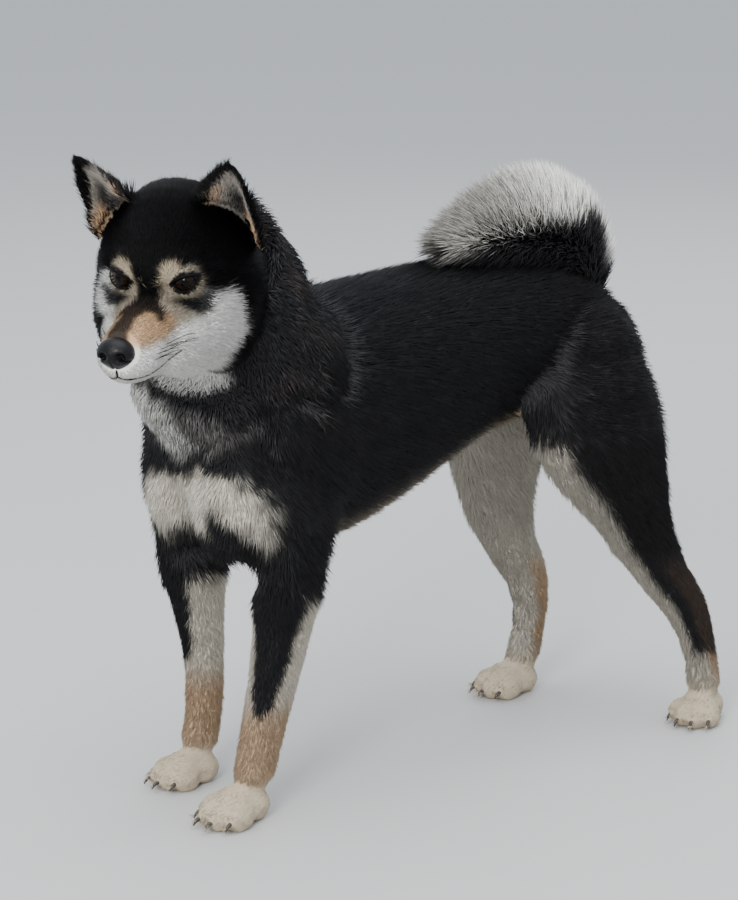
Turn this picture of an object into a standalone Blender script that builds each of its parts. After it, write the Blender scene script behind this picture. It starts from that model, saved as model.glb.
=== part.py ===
"""A life-size model of a black and tan shiba inu, standing with its head turned to its left.

Metres, +Z up. The dog faces -Y and its left side is at +X. Everything is first placed in a
body frame whose origin lies on the floor under the chest, and at the end the whole dog is
moved so that the origin is on the floor under the middle of its bounding box.
"""

import math
import random

import bmesh
import bpy
from mathutils import Euler, Matrix, Vector
from mathutils.bvhtree import BVHTree

# Driving dimensions
WITHERS_HEIGHT = 0.394
CHEST_HALF_WIDTH = 0.076
EYE_HEIGHT = 0.426
HEAD_TURN = math.radians(35.4)  # towards the dog's left
HEAD_DIP = math.radians(8.8)  # nose down
HEAD_PLACE = (
    Matrix.Translation((0.0826, -0.2674, EYE_HEIGHT))
    @ Matrix.Rotation(HEAD_TURN, 4, "Z")
    @ Matrix.Rotation(HEAD_DIP, 4, "X")
)
NODE_GAP = 0.0003  # kept between nodes that touch
FLOOR = 0.0

# How finely the flesh is made before it is parted
RING_SIDES = 16
BODY_VOXEL = 0.0032
HEAD_VOXEL = 0.0017
BODY_BLENDING = 16  # rounds of smoothing that blend the masses into one another
HEAD_BLENDING = 12
DETAIL_BLENDING = 2
BODY_TRIANGLES = 3600
HEAD_TRIANGLES = 2600

for old in list(bpy.data.objects):
    bpy.data.objects.remove(old, do_unlink=True)

dog = bpy.data.collections.new("shiba_inu")
helpers = bpy.data.collections.new("cutters")
for made in (dog, helpers):
    bpy.context.scene.collection.children.link(made)


def coat_material(name, colour, roughness):
    material = bpy.data.materials.new(name)
    material.use_nodes = True
    shader = material.node_tree.nodes["Principled BSDF"]
    shader.inputs["Base Color"].default_value = (*colour, 1.0)
    shader.inputs["Roughness"].default_value = roughness
    shader.inputs["Metallic"].default_value = 0.0
    return material


BLACK_COAT = coat_material("black_coat", (0.020, 0.019, 0.020), 0.8)
CREAM_COAT = coat_material("cream_coat", (0.62, 0.52, 0.42), 0.8)
SILVER_COAT = coat_material("silver_coat", (0.50, 0.47, 0.45), 0.8)
NOSE_LEATHER = coat_material("nose_leather", (0.012, 0.012, 0.014), 0.35)
EYE_DARK = coat_material("dark_eye", (0.030, 0.012, 0.006), 0.08)


# Making, joining and cutting

def put(name, mesh, collection):
    thing = bpy.data.objects.new(name, mesh)
    collection.objects.link(thing)
    return thing


def remove(things):
    for thing in things:
        bpy.data.objects.remove(thing, do_unlink=True)


def finished_mesh(thing):
    """A new mesh of the thing as its modifiers leave it, in world space."""
    bpy.context.view_layer.update()
    graph = bpy.context.evaluated_depsgraph_get()
    mesh = bpy.data.meshes.new_from_object(thing.evaluated_get(graph))
    mesh.transform(thing.matrix_world)
    return mesh


def apply_all(thing):
    mesh = finished_mesh(thing)
    thing.modifiers.clear()
    thing.data = mesh
    thing.matrix_world = Matrix.Identity(4)


def copy_of(thing, name):
    return put(name, thing.data.copy(), helpers)


def largest_shell(thing):
    """Keeps the largest closed surface, and drops sealed hollows and loose scraps."""
    shape = bmesh.new()
    shape.from_mesh(thing.data)
    bmesh.ops.triangulate(shape, faces=shape.faces)
    bmesh.ops.remove_doubles(shape, verts=shape.verts, dist=0.000002)
    bmesh.ops.dissolve_degenerate(shape, edges=shape.edges, dist=0.000002)
    shells = []
    seen = set()
    for face in shape.faces:
        if face in seen:
            continue
        seen.add(face)
        shell = [face]
        for member in shell:
            for edge in member.edges:
                for beside in edge.link_faces:
                    if beside not in seen:
                        seen.add(beside)
                        shell.append(beside)
        shells.append(shell)
    shells.sort(key=lambda shell: sum(face.calc_area() for face in shell))
    scraps = [face for shell in shells[:-1] for face in shell]
    bmesh.ops.delete(shape, geom=scraps, context="FACES")
    shape.to_mesh(thing.data)
    shape.free()


def boolean(thing, operation, other, solver="EXACT"):
    """Joins or cuts with one object or a whole collection, and applies it."""
    step = thing.modifiers.new(operation.lower(), "BOOLEAN")
    step.operation = operation
    step.solver = solver
    if isinstance(other, bpy.types.Collection):
        step.operand_type = "COLLECTION"
        step.collection = other
    else:
        step.object = other
    apply_all(thing)


def grown(thing, margin):
    """A copy whose surface lies a margin further out, to cut a neighbour clear with."""
    copy = copy_of(thing, thing.name + "_grown")
    swell = copy.modifiers.new("swell", "DISPLACE")
    swell.mid_level = 0.0
    swell.strength = margin
    apply_all(copy)
    return copy


def cut_clear(thing, *neighbours, margin=NODE_GAP * 1.4):
    for neighbour in neighbours:
        cutter = grown(neighbour, margin)
        boolean(thing, "DIFFERENCE", cutter)
        remove([cutter])
    largest_shell(thing)


def box(name, low, high, place=None, collection=helpers):
    """A box between two corners, which place may turn and move."""
    low, high = Vector(low), Vector(high)
    mesh = bpy.data.meshes.new(name)
    shape = bmesh.new()
    size = high - low
    fit = Matrix.Translation((low + high) / 2) @ Matrix.Diagonal((*size, 1.0))
    bmesh.ops.create_cube(shape, size=1.0, matrix=fit)
    shape.to_mesh(mesh)
    shape.free()
    if place is not None:
        mesh.transform(place)
    thing = put(name, mesh, collection)
    thing.hide_render = True
    thing.display_type = "WIRE"
    return thing


def part_off(body, name, low, high, place=None):
    """Parts what lies in a box off the body as a node of its own, with a thin gap between them."""
    piece = copy_of(body, name)
    inside = box("part_inside", low, high, place)
    gap = Vector((NODE_GAP,) * 3)
    outside = box("part_outside", Vector(low) - gap, Vector(high) + gap, place)
    boolean(piece, "INTERSECT", inside)
    boolean(body, "DIFFERENCE", outside)
    largest_shell(piece)
    largest_shell(body)
    remove([inside, outside])
    return piece


# Forms: lofts over oval rings, and balls

def ring_points(centre, across, upward, half_width, rise, drop):
    points = []
    for i in range(RING_SIDES):
        angle = 2 * math.pi * i / RING_SIDES
        reach = rise if math.sin(angle) > 0 else drop
        points.append(centre + across * half_width * math.cos(angle) + upward * reach * math.sin(angle))
    return points


def loft(name, rings, place=None):
    """A closed skin over rings of (centre, half width, rise, drop), each square to the run of the centres.

    The rise points forwards on a run down a leg, to the nape on one up the neck, and up on one towards -Y.
    """
    shape = bmesh.new()
    centres = [Vector(ring[0]) for ring in rings]
    loops = []
    for i, (_, half_width, rise, drop) in enumerate(rings):
        ahead = centres[min(i + 1, len(rings) - 1)] - centres[max(i - 1, 0)]
        along = ahead.normalized()
        across = (Vector((1, 0, 0)) - along * along.x).normalized()
        upward = along.cross(across)
        points = ring_points(centres[i], across, upward, half_width, rise, drop)
        loops.append([shape.verts.new(p) for p in points])
    for lower, upper in zip(loops, loops[1:]):
        for k in range(RING_SIDES):
            n = (k + 1) % RING_SIDES
            shape.faces.new((lower[k], lower[n], upper[n], upper[k]))
    for end, inner in ((0, 1), (-1, -2)):
        tip = shape.verts.new(centres[end] + (centres[end] - centres[inner]) * 0.25)
        for k in range(RING_SIDES):
            shape.faces.new((loops[end][k], loops[end][(k + 1) % RING_SIDES], tip))
    bmesh.ops.recalc_face_normals(shape, faces=shape.faces)
    mesh = bpy.data.meshes.new(name)
    shape.to_mesh(mesh)
    shape.free()
    if place is not None:
        mesh.transform(place)
    thing = put(name, mesh, helpers)
    rounding = thing.modifiers.new("rounding", "SUBSURF")
    rounding.levels = rounding.render_levels = 1
    return thing


def barrel(name, stations, place=None):
    """A loft along Y over stations of (y, top, bottom, half width)."""
    rings = []
    for y, top, bottom, half_width in stations:
        middle = (top + bottom) / 2
        rings.append(((0, y, middle), half_width, top - middle, top - middle))
    return loft(name, rings, place)


def ball(name, centre, radii, turn=(0, 0, 0), place=None, segments=14, rings=10):
    """An ellipsoid, turned by angles in degrees."""
    turned = Euler([math.radians(angle) for angle in turn]).to_matrix().to_4x4()
    fit = Matrix.Translation(Vector(centre)) @ turned @ Matrix.Diagonal((*radii, 1.0))
    mesh = bpy.data.meshes.new(name)
    shape = bmesh.new()
    bmesh.ops.create_uvsphere(shape, u_segments=segments, v_segments=rings, radius=1.0, matrix=fit)
    shape.to_mesh(mesh)
    shape.free()
    if place is not None:
        mesh.transform(place)
    return put(name, mesh, helpers)


def both_sides(name, centre, radii, turn, place=None):
    """A ball on the left and its mirror image on the right."""
    x, y, z = centre
    turn_x, turn_y, turn_z = turn
    left = ball(name, (x, y, z), radii, turn, place)
    right = ball(name, (-x, y, z), radii, (turn_x, -turn_y, -turn_z), place)
    return [left, right]


def fused(name, parts, voxel, blending, triangles=None):
    """The parts as one smooth closed body, thinned to about that many triangles where a number is given."""
    shape = bmesh.new()
    for part in parts:
        mesh = finished_mesh(part)
        shape.from_mesh(mesh)
        bpy.data.meshes.remove(mesh)
    mesh = bpy.data.meshes.new(name)
    shape.to_mesh(mesh)
    shape.free()
    body = put(name, mesh, helpers)
    skin = body.modifiers.new("skin", "REMESH")
    skin.mode = "VOXEL"
    skin.voxel_size = voxel
    ease = body.modifiers.new("ease", "SMOOTH")
    ease.factor = 0.5
    ease.iterations = blending
    apply_all(body)
    if triangles:
        thin = body.modifiers.new("thin", "DECIMATE")
        thin.ratio = triangles / (2 * len(body.data.polygons))
        apply_all(body)
        largest_shell(body)
    return body


# Torso: one barrel from the breast to the buttock, with the shoulders and haunches on it.
# Each station is (y, height of the back, height of the belly, half width).
TORSO_STATIONS = [
    (-0.202, 0.302, 0.220, 0.044),
    (-0.184, 0.345, 0.194, 0.062),
    (-0.150, 0.378, 0.184, 0.071),
    (-0.110, 0.391, 0.184, 0.075),
    (-0.065, WITHERS_HEIGHT, 0.193, CHEST_HALF_WIDTH),
    (-0.020, 0.396, 0.214, 0.075),
    (0.022, 0.399, 0.235, 0.070),
    (0.060, 0.401, 0.249, 0.064),
    (0.100, 0.399, 0.257, 0.061),
    (0.140, 0.391, 0.257, 0.059),
    (0.175, 0.374, 0.250, 0.054),
    (0.208, 0.348, 0.246, 0.044),
    (0.230, 0.316, 0.256, 0.028),
]


def torso_form():
    forms = [barrel("barrel", TORSO_STATIONS)]
    forms += both_sides("shoulder_blade", (0.046, -0.125, 0.290), (0.034, 0.050, 0.082), (14, 0, 0))
    forms += both_sides("upper_arm", (0.050, -0.145, 0.245), (0.030, 0.042, 0.050), (-18, 0, 0))
    forms += both_sides("breast", (0.033, -0.174, 0.256), (0.036, 0.033, 0.064), (0, 0, 0))
    forms += both_sides("haunch", (0.040, 0.158, 0.298), (0.036, 0.060, 0.062), (0, 0, 0))
    return forms


# Neck: thick, with the depth of the ruff in it, bending to the dog's left.
# Each ring is (centre, half width, towards the nape, towards the throat).
NECK_RINGS = [
    ((0.000, -0.084, 0.302), 0.060, 0.048, 0.072),
    ((0.004, -0.118, 0.336), 0.072, 0.053, 0.080),
    ((0.013, -0.146, 0.369), 0.074, 0.061, 0.079),
    ((0.024, -0.170, 0.397), 0.076, 0.070, 0.076),
    ((0.036, -0.190, 0.414), 0.070, 0.073, 0.070),
    ((0.046, -0.206, 0.424), 0.060, 0.070, 0.060),
]


def neck_form():
    throat = ball("throat", (0.018, -0.190, 0.330), (0.056, 0.044, 0.048), (0, 0, 20))
    nape = ball("nape", (0.030, -0.178, 0.445), (0.052, 0.047, 0.036), (0, 0, 20))
    return [loft("neck_form", NECK_RINGS), throat, nape]


# Legs. Each ring is (centre, half width, towards the front, towards the back).
LEG_RINGS = {
    "foreleg_left": [
        ((0.058, -0.128, 0.262), 0.026, 0.036, 0.036),
        ((0.060, -0.133, 0.225), 0.026, 0.034, 0.037),
        ((0.057, -0.138, 0.190), 0.0235, 0.029, 0.032),
        ((0.055, -0.144, 0.148), 0.0200, 0.0235, 0.0280),
        ((0.053, -0.151, 0.106), 0.0175, 0.0190, 0.0230),
        ((0.052, -0.158, 0.078), 0.0180, 0.0180, 0.0200),
        ((0.052, -0.164, 0.048), 0.0170, 0.0165, 0.0175),
        ((0.052, -0.171, 0.026), 0.0180, 0.0180, 0.0170),
    ],
    "foreleg_right": [
        ((-0.056, -0.138, 0.262), 0.026, 0.040, 0.036),
        ((-0.053, -0.150, 0.225), 0.027, 0.043, 0.034),
        ((-0.045, -0.157, 0.188), 0.0235, 0.0370, 0.027),
        ((-0.040, -0.156, 0.146), 0.0190, 0.0240, 0.022),
        ((-0.040, -0.153, 0.104), 0.0160, 0.0170, 0.0170),
        ((-0.040, -0.152, 0.076), 0.0165, 0.0165, 0.0165),
        ((-0.040, -0.154, 0.046), 0.0155, 0.0155, 0.0155),
        ((-0.040, -0.160, 0.026), 0.0175, 0.0175, 0.0170),
    ],
    "hindleg_left": [
        ((0.048, 0.150, 0.312), 0.034, 0.066, 0.060),
        ((0.060, 0.155, 0.268), 0.034, 0.072, 0.066),
        ((0.070, 0.166, 0.235), 0.030, 0.063, 0.055),
        ((0.077, 0.178, 0.203), 0.0255, 0.043, 0.038),
        ((0.080, 0.194, 0.168), 0.0215, 0.034, 0.0235),
        ((0.083, 0.215, 0.133), 0.0180, 0.0280, 0.0150),
        ((0.084, 0.236, 0.104), 0.0165, 0.0215, 0.0215),
        ((0.085, 0.250, 0.072), 0.0150, 0.0175, 0.0140),
        ((0.086, 0.256, 0.042), 0.0150, 0.0150, 0.0135),
        ((0.086, 0.256, 0.024), 0.0170, 0.0170, 0.0170),
    ],
    "hindleg_right": [
        ((-0.046, 0.145, 0.308), 0.034, 0.060, 0.060),
        ((-0.052, 0.146, 0.265), 0.034, 0.060, 0.062),
        ((-0.056, 0.146, 0.225), 0.030, 0.051, 0.053),
        ((-0.058, 0.148, 0.188), 0.0250, 0.041, 0.042),
        ((-0.058, 0.155, 0.152), 0.0210, 0.0290, 0.0285),
        ((-0.058, 0.169, 0.124), 0.0180, 0.0230, 0.0230),
        ((-0.058, 0.183, 0.100), 0.0165, 0.0190, 0.0245),
        ((-0.058, 0.188, 0.070), 0.0150, 0.0155, 0.0170),
        ((-0.058, 0.182, 0.042), 0.0150, 0.0145, 0.0155),
        ((-0.058, 0.175, 0.024), 0.0170, 0.0170, 0.0170),
    ],
}

# Each paw: where its heel pad is on the floor, how far its toes turn out in degrees, its size.
PAWS = {
    "foreleg_left": ((0.052, -0.176), 6.0, 0.97),
    "foreleg_right": ((-0.037, -0.164), -4.0, 0.92),
    "hindleg_left": ((0.086, 0.257), 22.0, 0.92),
    "hindleg_right": ((-0.058, 0.172), -6.0, 0.94),
}
# The four toes from the inside out: across, how far forward, and turned out in degrees
TOES = [(-0.0165, -0.0170, -10), (-0.0062, -0.0270, -3), (0.0062, -0.0270, 3), (0.0165, -0.0170, 10)]
TOE_RADII = (0.0080, 0.0150, 0.0118)
TOE_HEIGHT = 0.0098
CLAW_LENGTH = 0.011
CLAW_RADIUS = 0.0023
CLAW_DIP = 28  # degrees below level


def paw_place(name):
    (x, y), turned_out, size = PAWS[name]
    turn = Matrix.Rotation(math.radians(turned_out), 4, "Z")
    return Matrix.Translation((x, y, FLOOR)) @ turn @ Matrix.Scale(size, 4)


def paw_form(name):
    """Four toes, the heel pad and the arch between them, reaching a little below the floor."""
    place = paw_place(name)
    forms = [
        ball("heel", (0, 0.004, 0.012), (0.0175, 0.0180, 0.0150), place=place),
        ball("arch", (0, -0.010, 0.017), (0.0165, 0.0180, 0.0130), place=place),
    ]
    for across, forward, turned in TOES:
        forms.append(ball("toe", (across, forward, TOE_HEIGHT), TOE_RADII, (-8, 0, turned), place))
    return forms


def claws(name):
    """A short tapered claw at each toe, its root sunk in the toe and its tip clear of the floor."""
    made = []
    for across, forward, turned in TOES:
        shape = bmesh.new()
        bmesh.ops.create_cone(
            shape,
            cap_ends=True,
            segments=6,
            radius1=CLAW_RADIUS,
            radius2=CLAW_RADIUS * 0.25,
            depth=CLAW_LENGTH,
        )
        mesh = bpy.data.meshes.new("claw")
        shape.to_mesh(mesh)
        shape.free()
        front = Matrix.Translation((across, forward, 0.0085)) @ Matrix.Rotation(math.radians(turned), 4, "Z")
        dip = Matrix.Rotation(math.radians(90 + CLAW_DIP), 4, "X")
        out = Matrix.Translation((0, -TOE_RADII[1] * 0.98, 0))
        mesh.transform(paw_place(name) @ front @ out @ dip)
        made.append(put("claw", mesh, helpers))
    return made


# Head, in its own frame: the origin midway between the eyes, -Y along the muzzle, +Z up.
# Each station is (y, top, bottom, half width).
SKULL_STATIONS = [
    (0.003, 0.014, -0.052, 0.030),
    (0.010, 0.030, -0.062, 0.041),
    (0.022, 0.045, -0.076, 0.052),
    (0.040, 0.057, -0.086, 0.059),
    (0.062, 0.061, -0.090, 0.061),
    (0.086, 0.058, -0.088, 0.060),
    (0.108, 0.048, -0.078, 0.053),
]
MUZZLE_STATIONS = [
    (-0.0660, -0.0180, -0.0450, 0.0145),
    (-0.0590, -0.0145, -0.0540, 0.0185),
    (-0.0460, -0.0125, -0.0585, 0.0215),
    (-0.0310, -0.0115, -0.0610, 0.0235),
    (-0.0170, -0.0105, -0.0640, 0.0265),
    (-0.0030, -0.0060, -0.0680, 0.0310),
    (0.0120, 0.0040, -0.0720, 0.0370),
]
EYE_RADIUS = 0.0103
EYE_CENTRE = Vector((0.0217, 0.0097, 0.0))
EYE_OUTWARD = math.radians(20)
LID_RADIUS = 0.0124
LID_OPENING = (0.0098, 0.0056)  # half the length and half the height of the slit
LID_SLANT = math.radians(13)  # outer corner up
LIP_GROOVE = 0.0012
# The line of the mouth on the left side, from the middle to the corner
LIP_LINE = [
    (0.0000, -0.0640, -0.0462),
    (0.0085, -0.0600, -0.0480),
    (0.0145, -0.0490, -0.0505),
    (0.0195, -0.0370, -0.0497),
    (0.0245, -0.0265, -0.0462),
    (0.0285, -0.0190, -0.0420),
]


def mirrored(point):
    return Vector((-point[0], point[1], point[2]))


def head_masses():
    masses = [barrel("skull", SKULL_STATIONS, HEAD_PLACE), barrel("muzzle", MUZZLE_STATIONS, HEAD_PLACE)]
    masses += both_sides("cheek", (0.0325, 0.038, -0.036), (0.0285, 0.037, 0.044), (0, 0, 0), HEAD_PLACE)
    masses += both_sides("brow", (0.0175, 0.0130, 0.0135), (0.0140, 0.0150, 0.0115), (0, 12, 0), HEAD_PLACE)
    masses += both_sides("jowl", (0.0245, 0.0060, -0.0440), (0.0190, 0.0400, 0.0260), (0, 0, -30), HEAD_PLACE)
    return masses


def head_details():
    details = both_sides("lip", (0.0115, -0.0470, -0.0370), (0.0110, 0.0200, 0.0130), (0, 0, -12), HEAD_PLACE)
    details += both_sides("lids", EYE_CENTRE, (LID_RADIUS,) * 3, (0, 0, 0), HEAD_PLACE)
    return details


def lid_cutter(side):
    """A prism as wide as the slit between the lids, pointing out along the eye's own line of sight."""
    half_length, half_height = LID_OPENING
    count = 16
    shape = bmesh.new()
    rims = []
    for depth in (0.0, 0.030):
        rim = []
        for i in range(count):
            angle = 2 * math.pi * i / count
            along = half_length * math.cos(angle)
            # Pointed corners, and an upper lid that is straighter than the lower
            high = half_height * math.sin(angle) * (1 - 0.25 * math.cos(angle) ** 2)
            rim.append(shape.verts.new((along, -depth, high)))
        rims.append(rim)
    for k in range(count):
        n = (k + 1) % count
        shape.faces.new((rims[0][k], rims[0][n], rims[1][n], rims[1][k]))
    shape.faces.new(rims[0])
    shape.faces.new(rims[1])
    bmesh.ops.recalc_face_normals(shape, faces=shape.faces)
    mesh = bpy.data.meshes.new("lid_cutter")
    shape.to_mesh(mesh)
    shape.free()
    centre = EYE_CENTRE if side > 0 else mirrored(EYE_CENTRE)
    turn = Matrix.Rotation(EYE_OUTWARD * side, 4, "Z") @ Matrix.Rotation(-LID_SLANT * side, 4, "Y")
    mesh.transform(HEAD_PLACE @ Matrix.Translation(centre) @ turn)
    return put("lid_cutter", mesh, helpers)


def eye(side, radius):
    centre = EYE_CENTRE if side > 0 else mirrored(EYE_CENTRE)
    return ball("eye", centre, (radius,) * 3, place=HEAD_PLACE, segments=14, rings=7)


def surface_of(thing):
    """A search tree over the thing's faces, for placing what sits on it."""
    shape = bmesh.new()
    shape.from_mesh(thing.data)
    tree = BVHTree.FromBMesh(shape)
    shape.free()
    return tree


def lip_cutter(head):
    """A tube half sunk in the muzzle along the line of the mouth, from corner to corner."""
    tree = surface_of(head)
    left = [Vector(point) for point in LIP_LINE]
    route = [mirrored(point) for point in reversed(left)] + left[1:]
    curve = bpy.data.curves.new("lip_line", "CURVE")
    curve.dimensions = "3D"
    curve.bevel_depth = LIP_GROOVE
    curve.bevel_resolution = 1
    curve.use_fill_caps = True
    spline = curve.splines.new("POLY")
    spline.points.add(len(route) - 1)
    for knot, point in zip(spline.points, route):
        on_skin = tree.find_nearest(HEAD_PLACE @ point)[0]
        knot.co = (*on_skin, 1.0)
    tube = put("lip_line", curve, helpers)
    mesh = finished_mesh(tube)
    remove([tube])
    shape = bmesh.new()
    shape.from_mesh(mesh)
    bmesh.ops.remove_doubles(shape, verts=shape.verts, dist=0.00001)
    bmesh.ops.recalc_face_normals(shape, faces=shape.faces)
    shape.to_mesh(mesh)
    shape.free()
    return put("lip_cutter", mesh, helpers)


def carve_face(head):
    """Sockets, slits between the lids and the line of the mouth."""
    cutters = [lip_cutter(head)]
    for side in (1, -1):
        cutters.append(eye(side, EYE_RADIUS + NODE_GAP))
        cutters.append(lid_cutter(side))
    for cutter in cutters:
        boolean(head, "DIFFERENCE", cutter)
    remove(cutters)
    largest_shell(head)


# Nose: a rounded pad with a wing round each nostril
NOSE_CENTRE = (0, -0.0630, -0.0260)
NOSE_RADII = (0.0134, 0.0098, 0.0110)
NOSE_VOXEL = 0.0011
NOSE_TRIANGLES = 360
NOSTRIL_SIDES = (8, 6)


def nose(head):
    forms = [ball("pad", NOSE_CENTRE, NOSE_RADII, place=HEAD_PLACE)]
    forms += both_sides("wing", (0.0082, -0.0645, -0.0272), (0.0056, 0.0070, 0.0066), (0, 0, 0), HEAD_PLACE)
    pad = fused("nose", forms, NOSE_VOXEL, 2, NOSE_TRIANGLES)
    remove(forms)
    nostril = ((0.0064, -0.0735, -0.0256), (0.0031, 0.0042, 0.0025), (0, 20, 0))
    slit = ((0.0108, -0.0708, -0.0283), (0.0043, 0.0040, 0.0013), (0, 28, 20))
    groove = ((0, -0.0738, -0.0320), (0.0008, 0.0025, 0.0070), (0, 0, 0))
    cutters = [ball("groove", *groove, HEAD_PLACE, *NOSTRIL_SIDES)]
    for centre, radii, turn in (nostril, slit):
        across, upright, level = turn
        turn_back = (across, -upright, -level)
        cutters.append(ball("nostril", centre, radii, turn, HEAD_PLACE, *NOSTRIL_SIDES))
        cutters.append(ball("nostril", mirrored(centre), radii, turn_back, HEAD_PLACE, *NOSTRIL_SIDES))
    for cutter in cutters:
        boolean(pad, "DIFFERENCE", cutter)
    remove(cutters)
    cut_clear(pad, head)
    return pad


# Ears: cupped shells, from a base arc on the skull to a blunt tip
EAR_INNER_BASE = Vector((0.0230, 0.0350, 0.0440))
EAR_OUTER_BASE = Vector((0.0620, 0.0520, 0.0060))
EAR_TIP = Vector((0.0580, 0.0300, 0.0780))
EAR_BACK = Vector((0.25, 0.90, 0.30)).normalized()  # the way the ear's back bulges
EAR_CUP = 0.0175
EAR_THICKNESS = 0.0040
EAR_COLUMNS = 6
# How far up the ear each row is, and its width there as a share of the base's
EAR_ROWS = ((0.0, 1.0), (0.22, 0.88), (0.44, 0.70), (0.64, 0.51), (0.80, 0.34), (0.92, 0.20), (1.0, 0.08))


def ear(side, head):
    shape = bmesh.new()
    rows = []
    base_middle = (EAR_INNER_BASE + EAR_OUTER_BASE) / 2
    half_base = (EAR_OUTER_BASE - EAR_INNER_BASE) / 2
    for v, width in EAR_ROWS:
        row = []
        for i in range(EAR_COLUMNS + 1):
            u = 2 * i / EAR_COLUMNS - 1
            back = EAR_BACK * EAR_CUP * (1 - u * u) * (1 - v) ** 0.7
            point = base_middle.lerp(EAR_TIP, v) + half_base * u * width + back
            point.x *= side
            row.append(shape.verts.new(HEAD_PLACE @ point))
        rows.append(row)
    for lower, upper in zip(rows, rows[1:]):
        for k in range(EAR_COLUMNS):
            shape.faces.new((lower[k], lower[k + 1], upper[k + 1], upper[k]))
    mesh = bpy.data.meshes.new("ear")
    shape.to_mesh(mesh)
    shape.free()
    shell = put("ear", mesh, helpers)
    thick = shell.modifiers.new("thick", "SOLIDIFY")
    thick.thickness = EAR_THICKNESS
    thick.offset = 0.0
    thick.use_even_offset = True
    apply_all(shell)
    fix = bmesh.new()
    fix.from_mesh(shell.data)
    bmesh.ops.recalc_face_normals(fix, faces=fix.faces)
    fix.to_mesh(shell.data)
    fix.free()
    cut_clear(shell, head)
    return shell


# Locks of the long coat: flat, tapered, and bent along their lie
LOCK_SEED = 7
LOCK_TAPER = (0.75, 1.0, 0.72)  # half width at each ring, from the root towards the tip
LOCK_SOLVER = "EXACT"


def bent(root, knee, tip):
    """Points on a curve from the root to the tip that leaves the root towards the knee."""
    count = len(LOCK_TAPER)
    points = []
    for i in range(count + 1):
        t = i / count
        points.append(root * (1 - t) ** 2 + knee * 2 * t * (1 - t) + tip * t * t)
    return points


def lock(spine, flat, half_width, half_thickness):
    """A closed lock along a spine of points, lying flat across the direction named flat."""
    shape = bmesh.new()
    rings = []
    for i, taper in enumerate(LOCK_TAPER):
        along = (spine[i + 1] - spine[max(i - 1, 0)]).normalized()
        across = along.cross(flat).normalized() * half_width * taper
        upward = across.cross(along).normalized() * half_thickness * (0.5 + 0.5 * taper)
        corners = (across, upward, -across, -upward)
        rings.append([shape.verts.new(spine[i] + corner) for corner in corners])
    for lower, upper in zip(rings, rings[1:]):
        for k in range(4):
            n = (k + 1) % 4
            shape.faces.new((lower[k], lower[n], upper[n], upper[k]))
    tip = shape.verts.new(spine[-1])
    for k in range(4):
        shape.faces.new((rings[-1][k], rings[-1][(k + 1) % 4], tip))
    shape.faces.new(rings[0])
    bmesh.ops.triangulate(shape, faces=shape.faces)
    bmesh.ops.recalc_face_normals(shape, faces=shape.faces)
    mesh = bpy.data.meshes.new("lock")
    shape.to_mesh(mesh)
    shape.free()
    return put("lock", mesh, helpers)


def lifted(spine, surface, clearance):
    """The spine with every point but its root kept at least that far outside a surface."""
    points = [spine[0]]
    for point in spine[1:]:
        near, normal, _, _ = surface.find_nearest(point)
        height = (point - near).dot(normal)
        points.append(point + normal * max(0.0, clearance - height))
    return points


def join_locks(node, locks):
    lock_group = bpy.data.collections.new("locks")
    bpy.context.scene.collection.children.link(lock_group)
    for piece in locks:
        helpers.objects.unlink(piece)
        lock_group.objects.link(piece)
    boolean(node, "UNION", lock_group, LOCK_SOLVER)
    remove(list(lock_group.objects))
    bpy.data.collections.remove(lock_group)
    largest_shell(node)


# Ruff: rows of locks round the neck, lying back and down over the shoulders and the chest.
# Each row is (how far along the neck from the head to the shoulders, how many locks round it).
RUFF_ROWS = ((0.06, 11), (0.34, 12), (0.64, 12))
RUFF_LENGTH = 0.058
RUFF_HALF_WIDTH = 0.0160
RUFF_HALF_THICKNESS = 0.0016
RUFF_SINK = 0.0040
RUFF_LIFT = 0.0050  # of a lock's tip above the coat
RUFF_TOP = Vector((0.036, -0.190, 0.414))
RUFF_BASE = Vector((0.004, -0.118, 0.336))


def ruff_locks(whole, chance):
    surface = surface_of(whole)
    axis = (RUFF_BASE - RUFF_TOP).normalized()
    across = axis.cross(Vector((0, 0, 1))).normalized()
    upward = across.cross(axis)
    locks = []
    for row, (along, count) in enumerate(RUFF_ROWS):
        for k in range(count):
            turn = 2 * math.pi * (k + 0.5 * (row % 2) + chance.uniform(-0.12, 0.12)) / count
            start = RUFF_TOP.lerp(RUFF_BASE, along + chance.uniform(-0.03, 0.03))
            outward = across * math.cos(turn) + upward * math.sin(turn)
            root, normal, _, _ = surface.ray_cast(start, outward)
            step = RUFF_LENGTH * chance.uniform(0.85, 1.15) / len(LOCK_TAPER)
            spine = [root - normal * RUFF_SINK]
            point = root
            here = normal
            for i in range(1, len(LOCK_TAPER) + 1):
                lie = (axis - here * axis.dot(here)).normalized()
                point, here, _, _ = surface.find_nearest(point + lie * step)
                spine.append(point + here * RUFF_LIFT * i / len(LOCK_TAPER))
            half_width = RUFF_HALF_WIDTH * chance.uniform(0.85, 1.1)
            locks.append(lock(spine, normal, half_width, RUFF_HALF_THICKNESS))
    return locks


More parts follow.
